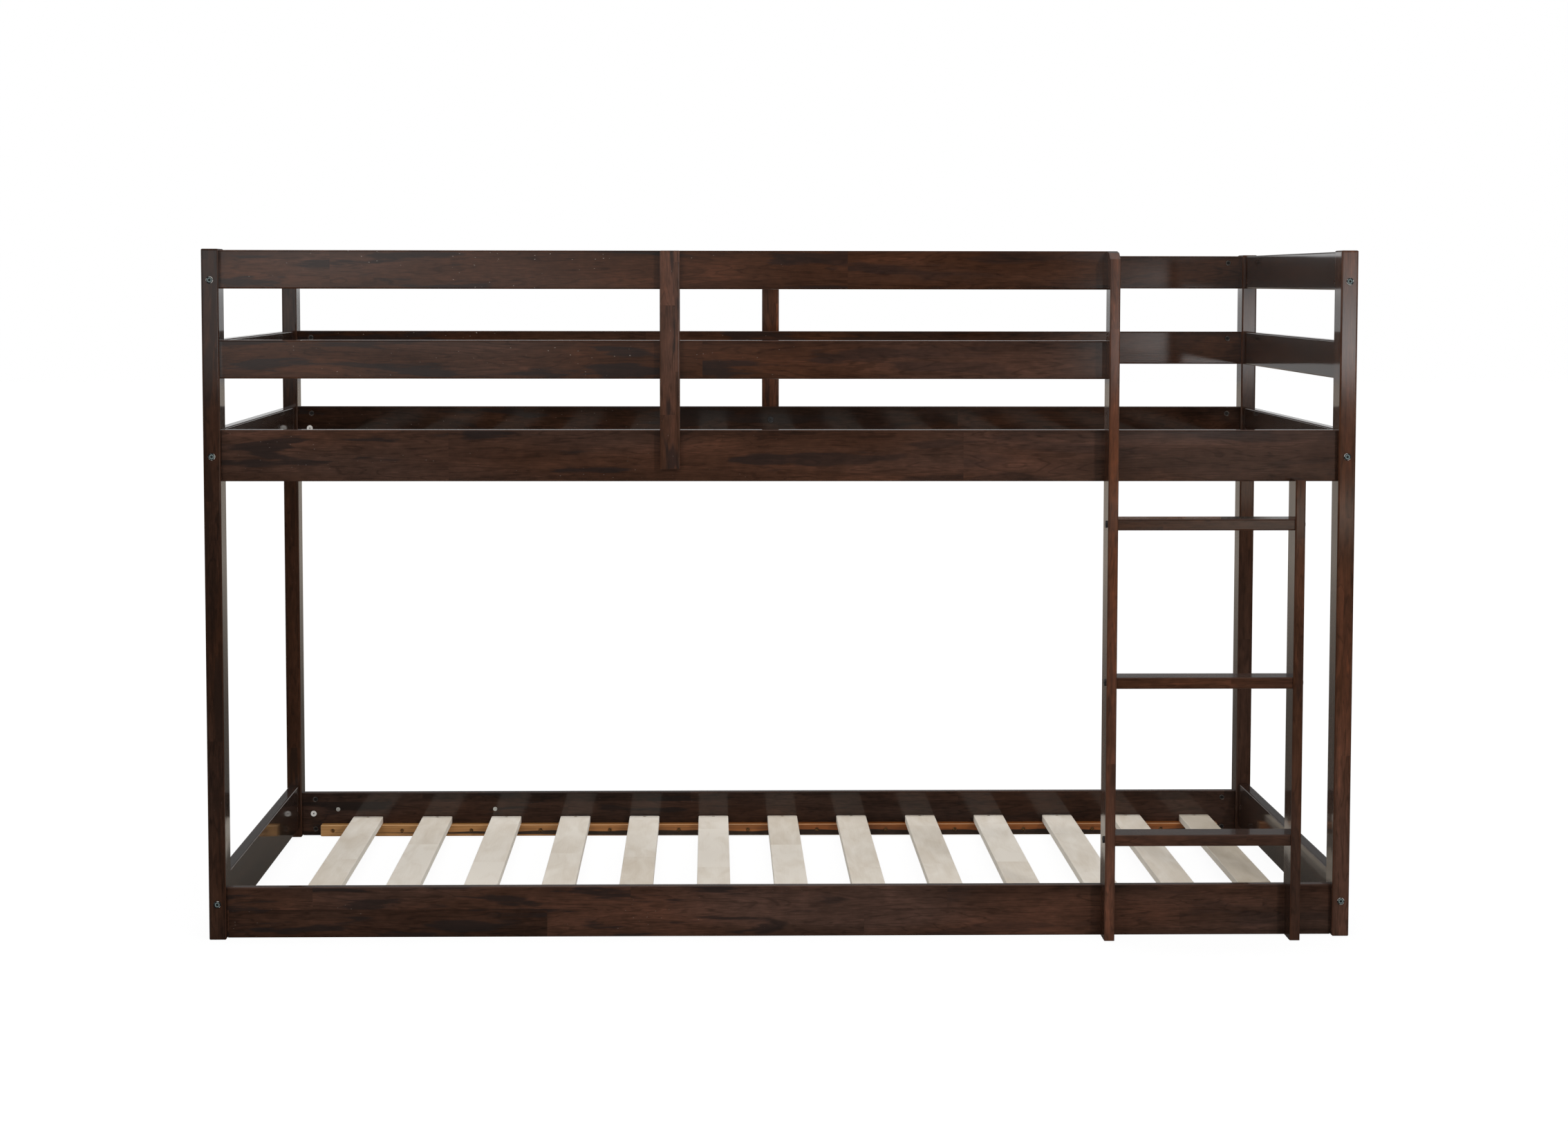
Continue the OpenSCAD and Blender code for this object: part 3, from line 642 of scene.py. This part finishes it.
@dataclass(frozen=True)
class LedgerWood:
    """Pine with an amber varnish, caught by some of the dark stain.

    The coat is thin, so the wood glows warm but shines little.

    Attributes:
        light: the pale wood's colour at the foot and at the head end.
        deep: the dark wood's colour at the foot and at the head end.
        stained: two places along the bed, in metres, between which the run of
            stain changes its height.
        upper: the run's upper side: its height at either place and how far it
            swings, in millimetres.
        lower: the same for its lower side.
    """

    light: tuple[str, str] = ("#bb8b53", "#96541f")
    deep: tuple[str, str] = ("#a07340", "#744018")
    stained: Pair = (-0.85, -0.2)
    upper: Triple = (10.0, 13.5, 12.0)
    lower: Triple = (9.5, 2.0, 4.0)

    def build(self) -> Material:
        """Makes the material."""
        material, tree = new_material("amber_varnished_pine")
        coords = add(tree, "TexCoord")
        grain = LEDGER_GRAIN.build(tree, coords.outputs["Object"])
        apart = add(tree, "SeparateXYZ", {0: coords.outputs["Object"]})
        # Honey at the foot end, redder towards the head where stain ran in
        redder = add(tree, "MapRange", {"Value": apart.outputs["X"], **REDDER_END})
        light, deep = (
            add(tree, "Mix", {"Factor": redder, "A": srgb(honey), "B": srgb(red)},
                data_type="RGBA") for honey, red in (self.light, self.deep))
        colour = add(tree, "Mix", {
            "Factor": add(tree, "MapRange", {"Value": grain, **GRAIN_BAND}),
            "A": light, "B": deep}, data_type="RGBA")
        colour = add(tree, "Mix", {
            "Factor": self._run(tree, apart), "A": colour, "B": srgb(RUN_OF_STAIN)},
            data_type="RGBA")
        # Painted highlight: a paler colour along the arrises, and on the ends
        turned = facing(tree, coords)
        arris = add(tree, "MapRange", {"Value": add(tree, "Math", {
            0: turned.outputs["Y"], 1: turned.outputs["Z"]}, operation="MAXIMUM"),
            **ARRIS_HIGHLIGHT_BAND})
        colour = add(tree, "Mix", {
            "Factor": arris, "A": colour, "B": srgb(ARRIS_HIGHLIGHT)}, data_type="RGBA")
        bump = add(tree, "Bump", {"Height": grain, **LEDGER_RELIEF})
        add(tree, "OutputMaterial", {"Surface": add(tree, "BsdfPrincipled", {
            "Base Color": colour, "Normal": bump, **VARNISH})})
        return material

    def _run(self, tree: Tree, apart: Node) -> Node:
        """Draws a run of dark stain along the lower part, in scallops.

        Args:
            tree: the node tree.
            apart: the coordinates, separated.

        Returns:
            How much of the stain shows.
        """
        wave = add(tree, "TexNoise", {"W": add(tree, "Math", {
            0: apart.outputs["X"], 1: 1000.0 / SCALLOP}, operation="MULTIPLY"),
            "Scale": 1.0, "Detail": 1.0}, noise_dimensions="1D")
        height = add(tree, "Math", {0: apart.outputs["Z"], 1: DECKS_APART},
                     operation="MODULO")
        centred = add(tree, "Math", {0: wave, 1: 0.5}, operation="SUBTRACT")
        upper, lower = (
            add(tree, "Math", {0: centred, 1: swing * MM, 2: add(tree, "MapRange", {
                "Value": apart.outputs["X"],
                **span(*self.stained, start * MM, end * MM)})},
                operation="MULTIPLY_ADD")
            for start, end, swing in (self.upper, self.lower))
        shown = RUN_SHOWN
        for high, low in ((upper, height), (height, lower)):
            inside = add(tree, "MapRange", {"Value": add(tree, "Math", {
                0: high, 1: low}, operation="SUBTRACT"), **RUN_SIDE})
            shown = add(tree, "Math", {0: inside, 1: shown}, operation="MULTIPLY")
        return shown


@dataclass(frozen=True)
class PlainFinish:
    """A small part's finish: one body colour with fine mottling.

    Attributes:
        name: the material's name.
        colour: its colour.
        worn: the colour where it is worn or dull.
        metallic: 1 for bare metal.
        roughness: how dull it is.
        mottle_mm: the mottling's size.
    """

    name: str
    colour: str
    worn: str
    metallic: float = 0.0
    roughness: float = 0.4
    mottle_mm: float = 3.0

    def build(self) -> Material:
        """Makes the material."""
        material, tree = new_material(self.name)
        mottle = Layer((self.mottle_mm,) * 3, detail=3.0).build(
            tree, add(tree, "TexCoord").outputs["Object"])
        colour = add(tree, "Mix", {
            "Factor": add(tree, "MapRange", {"Value": mottle, **MOTTLED}),
            "A": srgb(self.colour), "B": srgb(self.worn)}, data_type="RGBA")
        rough = add(tree, "MapRange", {"Value": mottle, **span(
            *DULL_LIMITS, self.roughness * SMOOTHER, self.roughness * DULLER_SPOT)})
        bump = add(tree, "Bump", {"Height": mottle, **CAST})
        add(tree, "OutputMaterial", {"Surface": add(tree, "BsdfPrincipled", {
            "Base Color": colour, "Roughness": rough, "Normal": bump,
            "Metallic": self.metallic})})
        return material


@dataclass(frozen=True)
class TurnedSteel:
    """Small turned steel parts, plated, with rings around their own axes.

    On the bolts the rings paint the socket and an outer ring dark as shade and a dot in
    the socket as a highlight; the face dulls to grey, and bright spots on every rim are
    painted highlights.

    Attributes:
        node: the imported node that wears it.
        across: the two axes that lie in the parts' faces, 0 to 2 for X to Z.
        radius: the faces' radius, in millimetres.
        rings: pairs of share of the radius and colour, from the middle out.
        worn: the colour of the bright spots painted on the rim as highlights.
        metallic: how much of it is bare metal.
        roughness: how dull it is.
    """

    node: str
    across: tuple[int, int]
    radius: float
    rings: Stops
    worn: str
    metallic: float = 0.4
    roughness: float = 0.35

    def build(self) -> Material:
        """Makes the material."""
        material, tree = new_material(f"{self.node}_turned_steel")
        place = add(tree, "TexCoord").outputs["Object"]
        apart = add(tree, "SeparateXYZ", {0: place})
        off = [self._off(tree, apart.outputs["XYZ"[axis]], middles(self.node, axis))
               for axis in self.across]
        out = add(tree, "VectorMath", {0: add(tree, "CombineXYZ", {
            "X": off[0], "Y": off[1]})}, operation="LENGTH")
        share = add(tree, "Math", {
            0: out.outputs["Value"], 1: 1000.0 / self.radius}, operation="MULTIPLY")
        ramp = add(tree, "ValToRGB", {"Fac": share})
        set_stops(ramp, self.rings)
        # Painted highlights: bright spots scattered along the rim
        rim = add(tree, "MapRange", {"Value": share, **RIM_HIGHLIGHT_BAND})
        highlight_spots = add(tree, "MapRange", {
            "Value": RIM_SPOTS.build(tree, place), **RIM_SPOT_BAND})
        colour = add(tree, "Mix", {
            "Factor": add(tree, "Math", {0: rim, 1: highlight_spots}, operation="MULTIPLY"),
            "A": ramp.outputs["Color"], "B": srgb(self.worn)}, data_type="RGBA")
        fine = FINE.build(tree, place)
        rough = add(tree, "MapRange", {"Value": fine, **span(
            *DULL_LIMITS, self.roughness * SMOOTHER, self.roughness * DULLER_SPOT)})
        bump = add(tree, "Bump", {"Height": fine, **TURNED})
        add(tree, "OutputMaterial", {"Surface": add(tree, "BsdfPrincipled", {
            "Base Color": colour, "Roughness": rough, "Normal": bump,
            "Metallic": self.metallic})})
        return material

    def _off(self, tree: Tree, along: Socket, spots: list[float]) -> Node:
        """Finds how far a coordinate lies from the nearest of some spots.

        Args:
            tree: the node tree.
            along: the coordinate.
            spots: the spots, in metres.

        Returns:
            A node that gives the distance.
        """
        away = [add(tree, "Math", {0: add(tree, "Math", {
            0: along, 1: spot}, operation="SUBTRACT")}, operation="ABSOLUTE")
            for spot in spots]
        nearest = away[0]
        for other in away[1:]:
            nearest = add(tree, "Math", {0: nearest, 1: other}, operation="MINIMUM")
        return nearest


# ------------------------------ sub-assemblies

@dataclass
class Posts:
    """The four corner posts.

    Attributes:
        wood: the first post's wood, but for its tone.
        apart: how far off in the log the next one is cut.
        tones: each post's own tone.
    """

    wood: StainedWood = StainedWood(
        Grain.UPRIGHT, 0.31, dust=0.1, stave=(420.0, 60.0), joints=0.05,
        pooled="#21150f")
    apart: float = 0.17
    tones: dict[str, float] = field(default_factory=lambda: {
        "post_front_left": 0.38, "post_front_right": 0.58,
        "post_back_left": 0.46, "post_back_right": 0.46})

    def dress(self) -> None:
        """Gives each post a board of its own."""
        for count, (name, tone) in enumerate(self.tones.items()):
            dress(name, replace(
                self.wood, board=name, seed=self.wood.seed + self.apart * count,
                tone=tone).build())


@dataclass
class Rails:
    """Side rails, guard rails, end rails and guard supports.

    Attributes:
        long_rails: the front's long rails and their woods, from the bottom up.
        long_apart: how far off in the log the next one and the back one are cut.
        darker: how much darker each of them is at the back.
        rougher: how much more relief a back rail has.
        thin_lacquer: the rail with less lacquer, and how much it has.
        support: the guard supports' wood.
        end_rail: the end rails' wood, its tone set darker as painted shade.
        end_apart: how far off in the log the next one and the right one are cut.
        end_rails: the end rails' names, from the bottom up.
    """

    long_rails: dict[str, StainedWood] = field(default_factory=lambda: {
        "side_rail_lower": StainedWood(
            Grain.ALONG_BED, 1.3, 0.53, 0.3, (560.0, 62.0), 0.15, red=0.91),
        "side_rail_upper": StainedWood(
            Grain.ALONG_BED, 1.3, 0.51, 0.3, (900.0, 300.0), 0.05, red=0.94),
        "guard_rail_middle": StainedWood(
            Grain.ALONG_BED, 1.3, 0.5, 1.0, (900.0, 300.0), 0.05),
        "guard_rail_top": StainedWood(
            Grain.ALONG_BED, 1.3, 0.52, 1.0, (900.0, 300.0), 0.05)})
    long_apart: Pair = (0.61, 2.9)
    darker: tuple[float, ...] = (0.06, 0.18, 0.06, 0.06)
    rougher: float = 0.1
    thin_lacquer: tuple[str, float] = ("back_side_rail_upper", 0.45)
    support: StainedWood = StainedWood(
        Grain.UPRIGHT, 5.1, 0.68, stave=(190.0, 28.0), joints=0.14)
    # Painted shade: the end rails take the same stain but a darker tone, for the shade
    # they stand in
    end_rail: StainedWood = StainedWood(
        Grain.ACROSS_BED, 7.7, 0.3, 0.1, (640.0, 300.0), 0.05, relief=0.0)
    end_apart: Pair = (0.47, 2.3)
    end_rails: tuple[str, ...] = ("lower", "upper", "middle", "top")

    def dress(self) -> None:
        """Gives each rail and support a board of its own."""
        for side, face in enumerate(("front", "back")):
            for count, (rail, wood) in enumerate(self.long_rails.items()):
                self._long_rail(f"{face}_{rail}", wood, count, side)
            name = f"{face}_guard_support"
            dress(name, replace(
                self.support, board=name, seed=self.support.seed + side).build())
        along, across = self.end_apart
        for side, end in enumerate(("left", "right")):
            for count, rail in enumerate(self.end_rails):
                name = f"{end}_end_rail_{rail}"
                seed = self.end_rail.seed + along * count + across * side
                dress(name, replace(self.end_rail, board=name, seed=seed).build())

    def _long_rail(self, name: str, wood: StainedWood, count: int, side: int) -> None:
        """Gives one long rail its board.

        Args:
            name: the rail's node.
            wood: its wood, as it is at the front.
            count: its number from the bottom, the lowest being 0.
            side: 0 at the front and 1 at the back.
        """
        along, across = self.long_apart
        thin, lacquer = self.thin_lacquer
        dress(name, replace(
            wood, board=name, seed=wood.seed + along * count + across * side,
            tone=wood.tone - self.darker[count] * side,
            relief=wood.relief + self.rougher * side,
            gloss=lacquer if name == thin else wood.gloss).build())


@dataclass
class Ladder:
    """Two uprights and three treads.

    Attributes:
        upright: the uprights' wood.
        upright_apart: how far off in the log the next upright is cut.
        tones: each upright's own tone.
        tread: the treads' wood.
        tread_apart: how far off in the log the next tread is cut.
        treads: each tread's own tone, from the bottom up.
    """

    upright: StainedWood = StainedWood(
        Grain.UPRIGHT, 11.3, dust=0.1, stave=(380.0, 60.0), joints=0.08)
    upright_apart: float = 0.7
    tones: dict[str, float] = field(default_factory=lambda: {
        "left": 0.68, "right": 0.54})
    tread: StainedWood = StainedWood(Grain.ALONG_BED, 13.1, dust=0.2, joints=0.06)
    tread_apart: float = 0.9
    treads: tuple[float, ...] = (0.52, 0.51, 0.43)

    def dress(self) -> None:
        """Gives each piece a board of its own."""
        for count, (side, tone) in enumerate(self.tones.items()):
            name = f"ladder_upright_{side}"
            seed = self.upright.seed + self.upright_apart * count
            dress(name, replace(self.upright, board=name, seed=seed, tone=tone).build())
        for count, tone in enumerate(self.treads, 1):
            name = f"ladder_tread_{count}"
            seed = self.tread.seed + self.tread_apart * count
            dress(name, replace(self.tread, board=name, seed=seed, tone=tone).build())


@dataclass
class Decks:
    """Slats and the ledgers they lie on.

    Attributes:
        slats: how many slats a deck has.
        pine: the slats' wood.
        grey: the last lower slat's wood, painted darker as shade.
        amber: the ledgers' wood.
    """

    slats: int = 13
    pine: SlatWood = SlatWood()
    # Painted shade: the last lower slat's wood is darker for the shade it lies in
    grey: SlatWood = SlatWood("raw_pine_painted_shade", "#a89b87", "#c6bcad")
    amber: LedgerWood = LedgerWood()

    def dress(self) -> None:
        """Gives the slats and ledgers their woods."""
        pine, grey = self.pine.build(), self.grey.build()
        for count in range(1, self.slats + 1):
            dress(f"lower_slat_{count:02d}", grey if count == self.slats else pine)
        dress("upper_slats", pine)
        amber = self.amber.build()
        for face in ("front", "back"):
            for deck in ("lower", "upper"):
                dress(f"ledger_{face}_{deck}", amber)


@dataclass
class Hardware:
    """Bolts, nuts, screws, dowels and plugs.

    Attributes:
        plain: each plain finish with the nodes that wear it.
        turned: the finishes of the turned parts.
    """

    plain: tuple[tuple[PlainFinish, tuple[str, ...]], ...] = (
        (PlainFinish("black_oxide_steel", "#2f2f31", "#47484a", 0.5, 0.34),
         ("guard_support_bolts", "end_barrel_nuts", "tread_bolts")),
        (PlainFinish("zinc_plated_steel", "#d9d9d2", "#b4b6b4", 0.4, 0.3, 5.0),
         ("rail_face_screws",)),
        (PlainFinish("dulled_zinc_steel", "#97703f", "#66492b", 0.2, 0.4),
         ("ledger_screws",)),
        (PlainFinish("yellow_zinc_steel", "#cfae62", "#a88845", 1.0, 0.3),
         ("lower_slat_screws", "upper_slat_screws")),
        (PlainFinish("fluted_beech", "#b58e63", "#9c7650", roughness=0.6),
         ("rail_dowels", "ladder_dowels")),
        (PlainFinish("white_nylon", "#eceae6", "#dcd8d2", roughness=0.42),
         ("rail_ring_plugs",)))
    turned: tuple[TurnedSteel, ...] = (
        TurnedSteel("post_face_bolts", (0, 2), BOLT_RADIUS, BOLT_RINGS, "#d4d2cd"),
        TurnedSteel("post_side_bolts", (1, 2), BOLT_RADIUS, BOLT_RINGS, "#d4d2cd"),
        TurnedSteel("ladder_rail_bolts", (0, 2), BOLT_RADIUS, BOLT_RINGS, "#a9a8a4"),
        TurnedSteel("side_barrel_nuts", (0, 2), NUT_RADIUS, NUT_RINGS, "#6b6662"))

    def dress(self) -> None:
        """Gives each kind of small part its finish."""
        for finish, names in self.plain:
            material = finish.build()
            for name in names:
                dress(name, material)
        for finish in self.turned:
            dress(finish.node, finish.build())


# ------------------------------ studio

@dataclass
class Softbox:
    """A soft lamp that faces a point.

    Attributes:
        name: the lamp's name.
        place: where it stands, in metres.
        aim: the point it faces.
        size: its width and height, in metres.
        power: its power in watts.
    """

    name: str
    place: Triple
    aim: Triple
    size: Pair
    power: float

    def build(self) -> None:
        """Hangs the lamp."""
        data = bpy.data.lights.new(self.name, "AREA")
        data.shape = "RECTANGLE"
        data.size, data.size_y = self.size
        data.energy = self.power
        lamp = bpy.data.objects.new(self.name, data)
        lamp.location = self.place
        way = Vector(self.aim) - Vector(self.place)
        lamp.rotation_euler = way.to_track_quat("-Z", "Y").to_euler()
        # Gloss sees the room alone, so no lamp glares in a rail's top
        lamp.visible_glossy = False
        bpy.context.scene.collection.objects.link(lamp)


@dataclass(frozen=True)
class Panel:
    """A soft panel behind the camera that only gloss sees.

    Attributes:
        inner: the x of the directions where it starts and where it is full.
        outer: the x of the directions where it starts to fade and where it ends.
        rows: pairs of a direction's z and the panel's level there.
    """

    inner: Pair
    outer: Pair
    rows: Rows


@dataclass
class Studio:
    """Pale floor, soft lamps, white surroundings and the camera.

    Attributes:
        camera_place: where the camera stands, in metres.
        pan: how far it turns to the left, in degrees.
        tilt: how far it looks up, in degrees.
        roll: how far it leans, in degrees.
        lens: its focal length, in millimetres.
        sensor: its sensor's width, in millimetres.
        shift_y: how far its picture is shifted, as a share of the width.
        sight: how far it sees, in metres.
        lamps: the soft lamps.
        ambient: the room's light on all but gloss.
        room: pairs of a direction's z and the level that gloss sees there.
        unlit: the level at the room's far end, behind the camera.
        behind: the y of the directions where that end starts.
        panels: the soft panels there.
        floor_size: the floor's width, in metres.
        floor_colour: its colour under the lamps.
        floor_white: how much of its white, to the eye, glows.
        floor_far: how that glow grows with the distance, in metres.
        shine: the floor's colour to gloss.
        shine_rows: pairs of the floor's y and its level to gloss.
        patch_rows: the same for a lit patch, far out in front.
        patch_side: the x over which that patch starts, in metres.
    """

    camera_place: Triple = (-0.12306, -6.00432, 1.15510)
    pan: float = -1.327
    tilt: float = -4.407
    roll: float = -0.076
    lens: float = 72.255
    sensor: float = 36.0
    shift_y: float = -0.02976
    sight: float = 200.0
    lamps: tuple[Softbox, ...] = (
        Softbox("key_right", (1.62, -3.38, 1.86), (0.5, -0.5, 0.7), (0.2, 0.2), 38.0),
        Softbox("key_left", (-1.3, -3.38, 1.86), (-0.5, -0.5, 0.7), (0.35, 0.35), 13.0),
        Softbox("fill_front", (0.0, -5.0, 4.6), (0.0, 0.0, 0.6), (5.0, 2.0), 64.0),
        Softbox("overhead", (0.0, 1.2, 4.6), (0.0, 0.2, 0.4), (4.0, 3.0), 140.0))
    ambient: float = 0.42
    room: Rows = ((-0.04, 0.3), (-0.004, 0.45), (0.0, 1.1), (0.03, 0.9),
                  (0.08, 0.3), (0.14, 0.16), (0.5, 0.18), (1.0, 0.8))
    unlit: float = 0.02
    behind: Pair = (-0.6, -0.9)
    panels: tuple[Panel, ...] = (
        Panel((0.04, -0.13), (-0.3, -0.4), (
            (-0.09, 0.0), (-0.03, 0.8), (0.01, 1.4), (0.12, 0.8), (0.2, 0.0))),
        Panel((0.112, 0.165), (0.3, 0.4), (
            (-0.05, 0.0), (-0.043, 1.4), (-0.02, 7.5), (-0.006, 3.6),
            (0.01, 1.5), (0.05, 0.6), (0.2, 0.0))))
    floor_size: float = 60.0
    floor_colour: str = "#f0efed"
    floor_white: float = 0.92
    floor_far: dict[str, float] = field(
        default_factory=lambda: span(2.0, 6.0, 1.02, 1.1))
    shine: str = "#fff1e1"
    shine_rows: Rows = ((-1.0, 0.05), (0.5, 0.1), (2.5, 0.13), (7.0, 0.45))
    patch_rows: Rows = ((-12.2, 0.0), (-11.8, 2.2), (-9.8, 2.2), (-9.2, 0.0))
    patch_side: Pair = (1.5, 2.5)

    def build(self) -> None:
        """Sets up the whole studio."""
        bpy.context.scene.view_settings.view_transform = "Standard"
        self._camera()
        self._world()
        self._floor()
        for lamp in self.lamps:
            lamp.build()

    def _camera(self) -> None:
        """Puts up the camera."""
        data = bpy.data.cameras.new("camera")
        data.sensor_width = self.sensor
        data.lens = self.lens
        data.shift_y = self.shift_y
        data.clip_end = self.sight
        camera = bpy.data.objects.new("camera", data)
        turn = Matrix.Identity(4)
        # A camera looks down until the last turn brings it level
        for degrees, axis in ((self.pan, "Z"), (self.tilt, "X"),
                              (self.roll, "Y"), (90, "X")):
            turn = turn @ Matrix.Rotation(math.radians(degrees), 4, axis)
        camera.matrix_world = Matrix.Translation(self.camera_place) @ turn
        bpy.context.scene.collection.objects.link(camera)
        bpy.context.scene.camera = camera

    def _world(self) -> None:
        """Makes surroundings that are white to the eye and a studio to gloss."""
        world = bpy.data.worlds.new("studio")
        world.use_nodes = True
        tree = world.node_tree
        tree.nodes.clear()
        way = add(tree, "SeparateXYZ", {0: add(tree, "VectorMath", {
            0: add(tree, "TexCoord").outputs["Generated"]}, operation="NORMALIZE")})
        rays = add(tree, "LightPath")
        # All but gloss gets the same soft light from every side
        strength = add(tree, "Mix", {
            "Factor": rays.outputs["Is Glossy Ray"], "A": self.ambient,
            "B": self._room(tree, way)})
        lights = add(tree, "Background", {"Color": WHITE, "Strength": strength})
        white = add(tree, "Background", {"Color": WHITE, "Strength": 1.0})
        seen = add(tree, "MixShader", {
            0: rays.outputs["Is Camera Ray"], 1: lights, 2: white})
        add(tree, "OutputWorld", {"Surface": seen})
        bpy.context.scene.world = world

    def _room(self, tree: Tree, way: Node) -> Node:
        """Lights the room that gloss sees, with the panels in it.

        Args:
            tree: the node tree.
            way: the direction looked in, separated.

        Returns:
            A node that gives the level.
        """
        # The far end of the room, behind the camera, is unlit
        front = add(tree, "MapRange", {
            "Value": way.outputs["Y"], **span(*self.behind)})
        level = add(tree, "Mix", {
            "Factor": front, "A": self._steps(tree, way.outputs["Z"], self.room),
            "B": self.unlit})
        for panel in self.panels:
            lit = front
            for band in (span(*panel.inner), span(*panel.outer, 1.0, 0.0)):
                shown = add(tree, "MapRange", {"Value": way.outputs["X"], **band})
                lit = add(tree, "Math", {0: lit, 1: shown}, operation="MULTIPLY")
            level = add(tree, "Math", {0: lit, 1: self._steps(
                tree, way.outputs["Z"], panel.rows), 2: level},
                operation="MULTIPLY_ADD")
        return level

    def _steps(self, tree: Tree, value: Socket, rows: Rows) -> Node:
        """Reads a level off a line through these rows.

        Args:
            tree: the node tree.
            value: what the rows are found by.
            rows: pairs of value and level, in rising order.

        Returns:
            A node that gives the level.
        """
        low, high = rows[0][0], rows[-1][0]
        most = max(level for _, level in rows)
        curve = add(tree, "FloatCurve", {"Value": add(tree, "MapRange", {
            "Value": value, **span(low, high)})})
        line = curve.mapping.curves[0]
        spots = [((at - low) / (high - low), level / most) for at, level in rows]
        line.points[0].location, line.points[-1].location = spots[0], spots[-1]
        for spot in spots[1:-1]:
            line.points.new(*spot)
        for point in line.points:
            point.handle_type = "VECTOR"
        curve.mapping.update()
        return add(tree, "Math", {0: curve, 1: most}, operation="MULTIPLY")

    def _floor(self) -> None:
        """Lays the floor."""
        bpy.ops.object.select_all(action="DESELECT")
        bpy.ops.mesh.primitive_plane_add(size=self.floor_size)
        floor = bpy.context.object
        floor.name = floor.data.name = "studio_floor"
        material, tree = new_material("pale_floor")
        place = add(tree, "TexCoord").outputs["Object"]
        matt = add(tree, "BsdfDiffuse", {"Color": srgb(self.floor_colour)})
        shine = add(tree, "Emission", {
            "Color": srgb(self.shine), "Strength": self._shine(tree, place)})
        rays = add(tree, "LightPath")
        own = add(tree, "MixShader", {
            0: rays.outputs["Is Glossy Ray"], 1: matt, 2: shine})
        # Further off, where the lamps fade, the floor stays as white as the room
        away = add(tree, "VectorMath", {0: place}, operation="LENGTH")
        glow = add(tree, "Emission", {"Color": WHITE, "Strength": add(
            tree, "MapRange", {"Value": away.outputs["Value"], **self.floor_far})})
        seen = add(tree, "MixShader", {
            0: self.floor_white, 1: add(tree, "BsdfDiffuse", {"Color": WHITE}),
            2: glow})
        add(tree, "OutputMaterial", {"Surface": add(tree, "MixShader", {
            0: rays.outputs["Is Camera Ray"], 1: own, 2: seen})})
        floor.data.materials.append(material)

    def _shine(self, tree: Tree, place: Socket) -> Node:
        """Lights the floor that gloss sees.

        Args:
            tree: the node tree.
            place: the floor's coordinates.

        Returns:
            A node that gives the level.
        """
        apart = add(tree, "SeparateXYZ", {0: place})
        # To gloss, the floor behind is lit and the floor in front isn't
        lit, patch = (self._steps(tree, apart.outputs["Y"], rows)
                      for rows in (self.shine_rows, self.patch_rows))
        # The patch hazes the top tread
        right = add(tree, "MapRange", {
            "Value": apart.outputs["X"], **span(*self.patch_side)})
        return add(tree, "Math", {0: patch, 1: right, 2: lit},
                   operation="MULTIPLY_ADD")


# ------------------------------ main


def main() -> None:
    """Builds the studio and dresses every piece."""
    logging.basicConfig(level=logging.INFO, format="%(name)s: %(message)s")
    Studio().build()
    for assembly in (Posts(), Rails(), Ladder(), Decks(), Hardware()):
        assembly.dress()


if __name__ == "__main__":
    main()
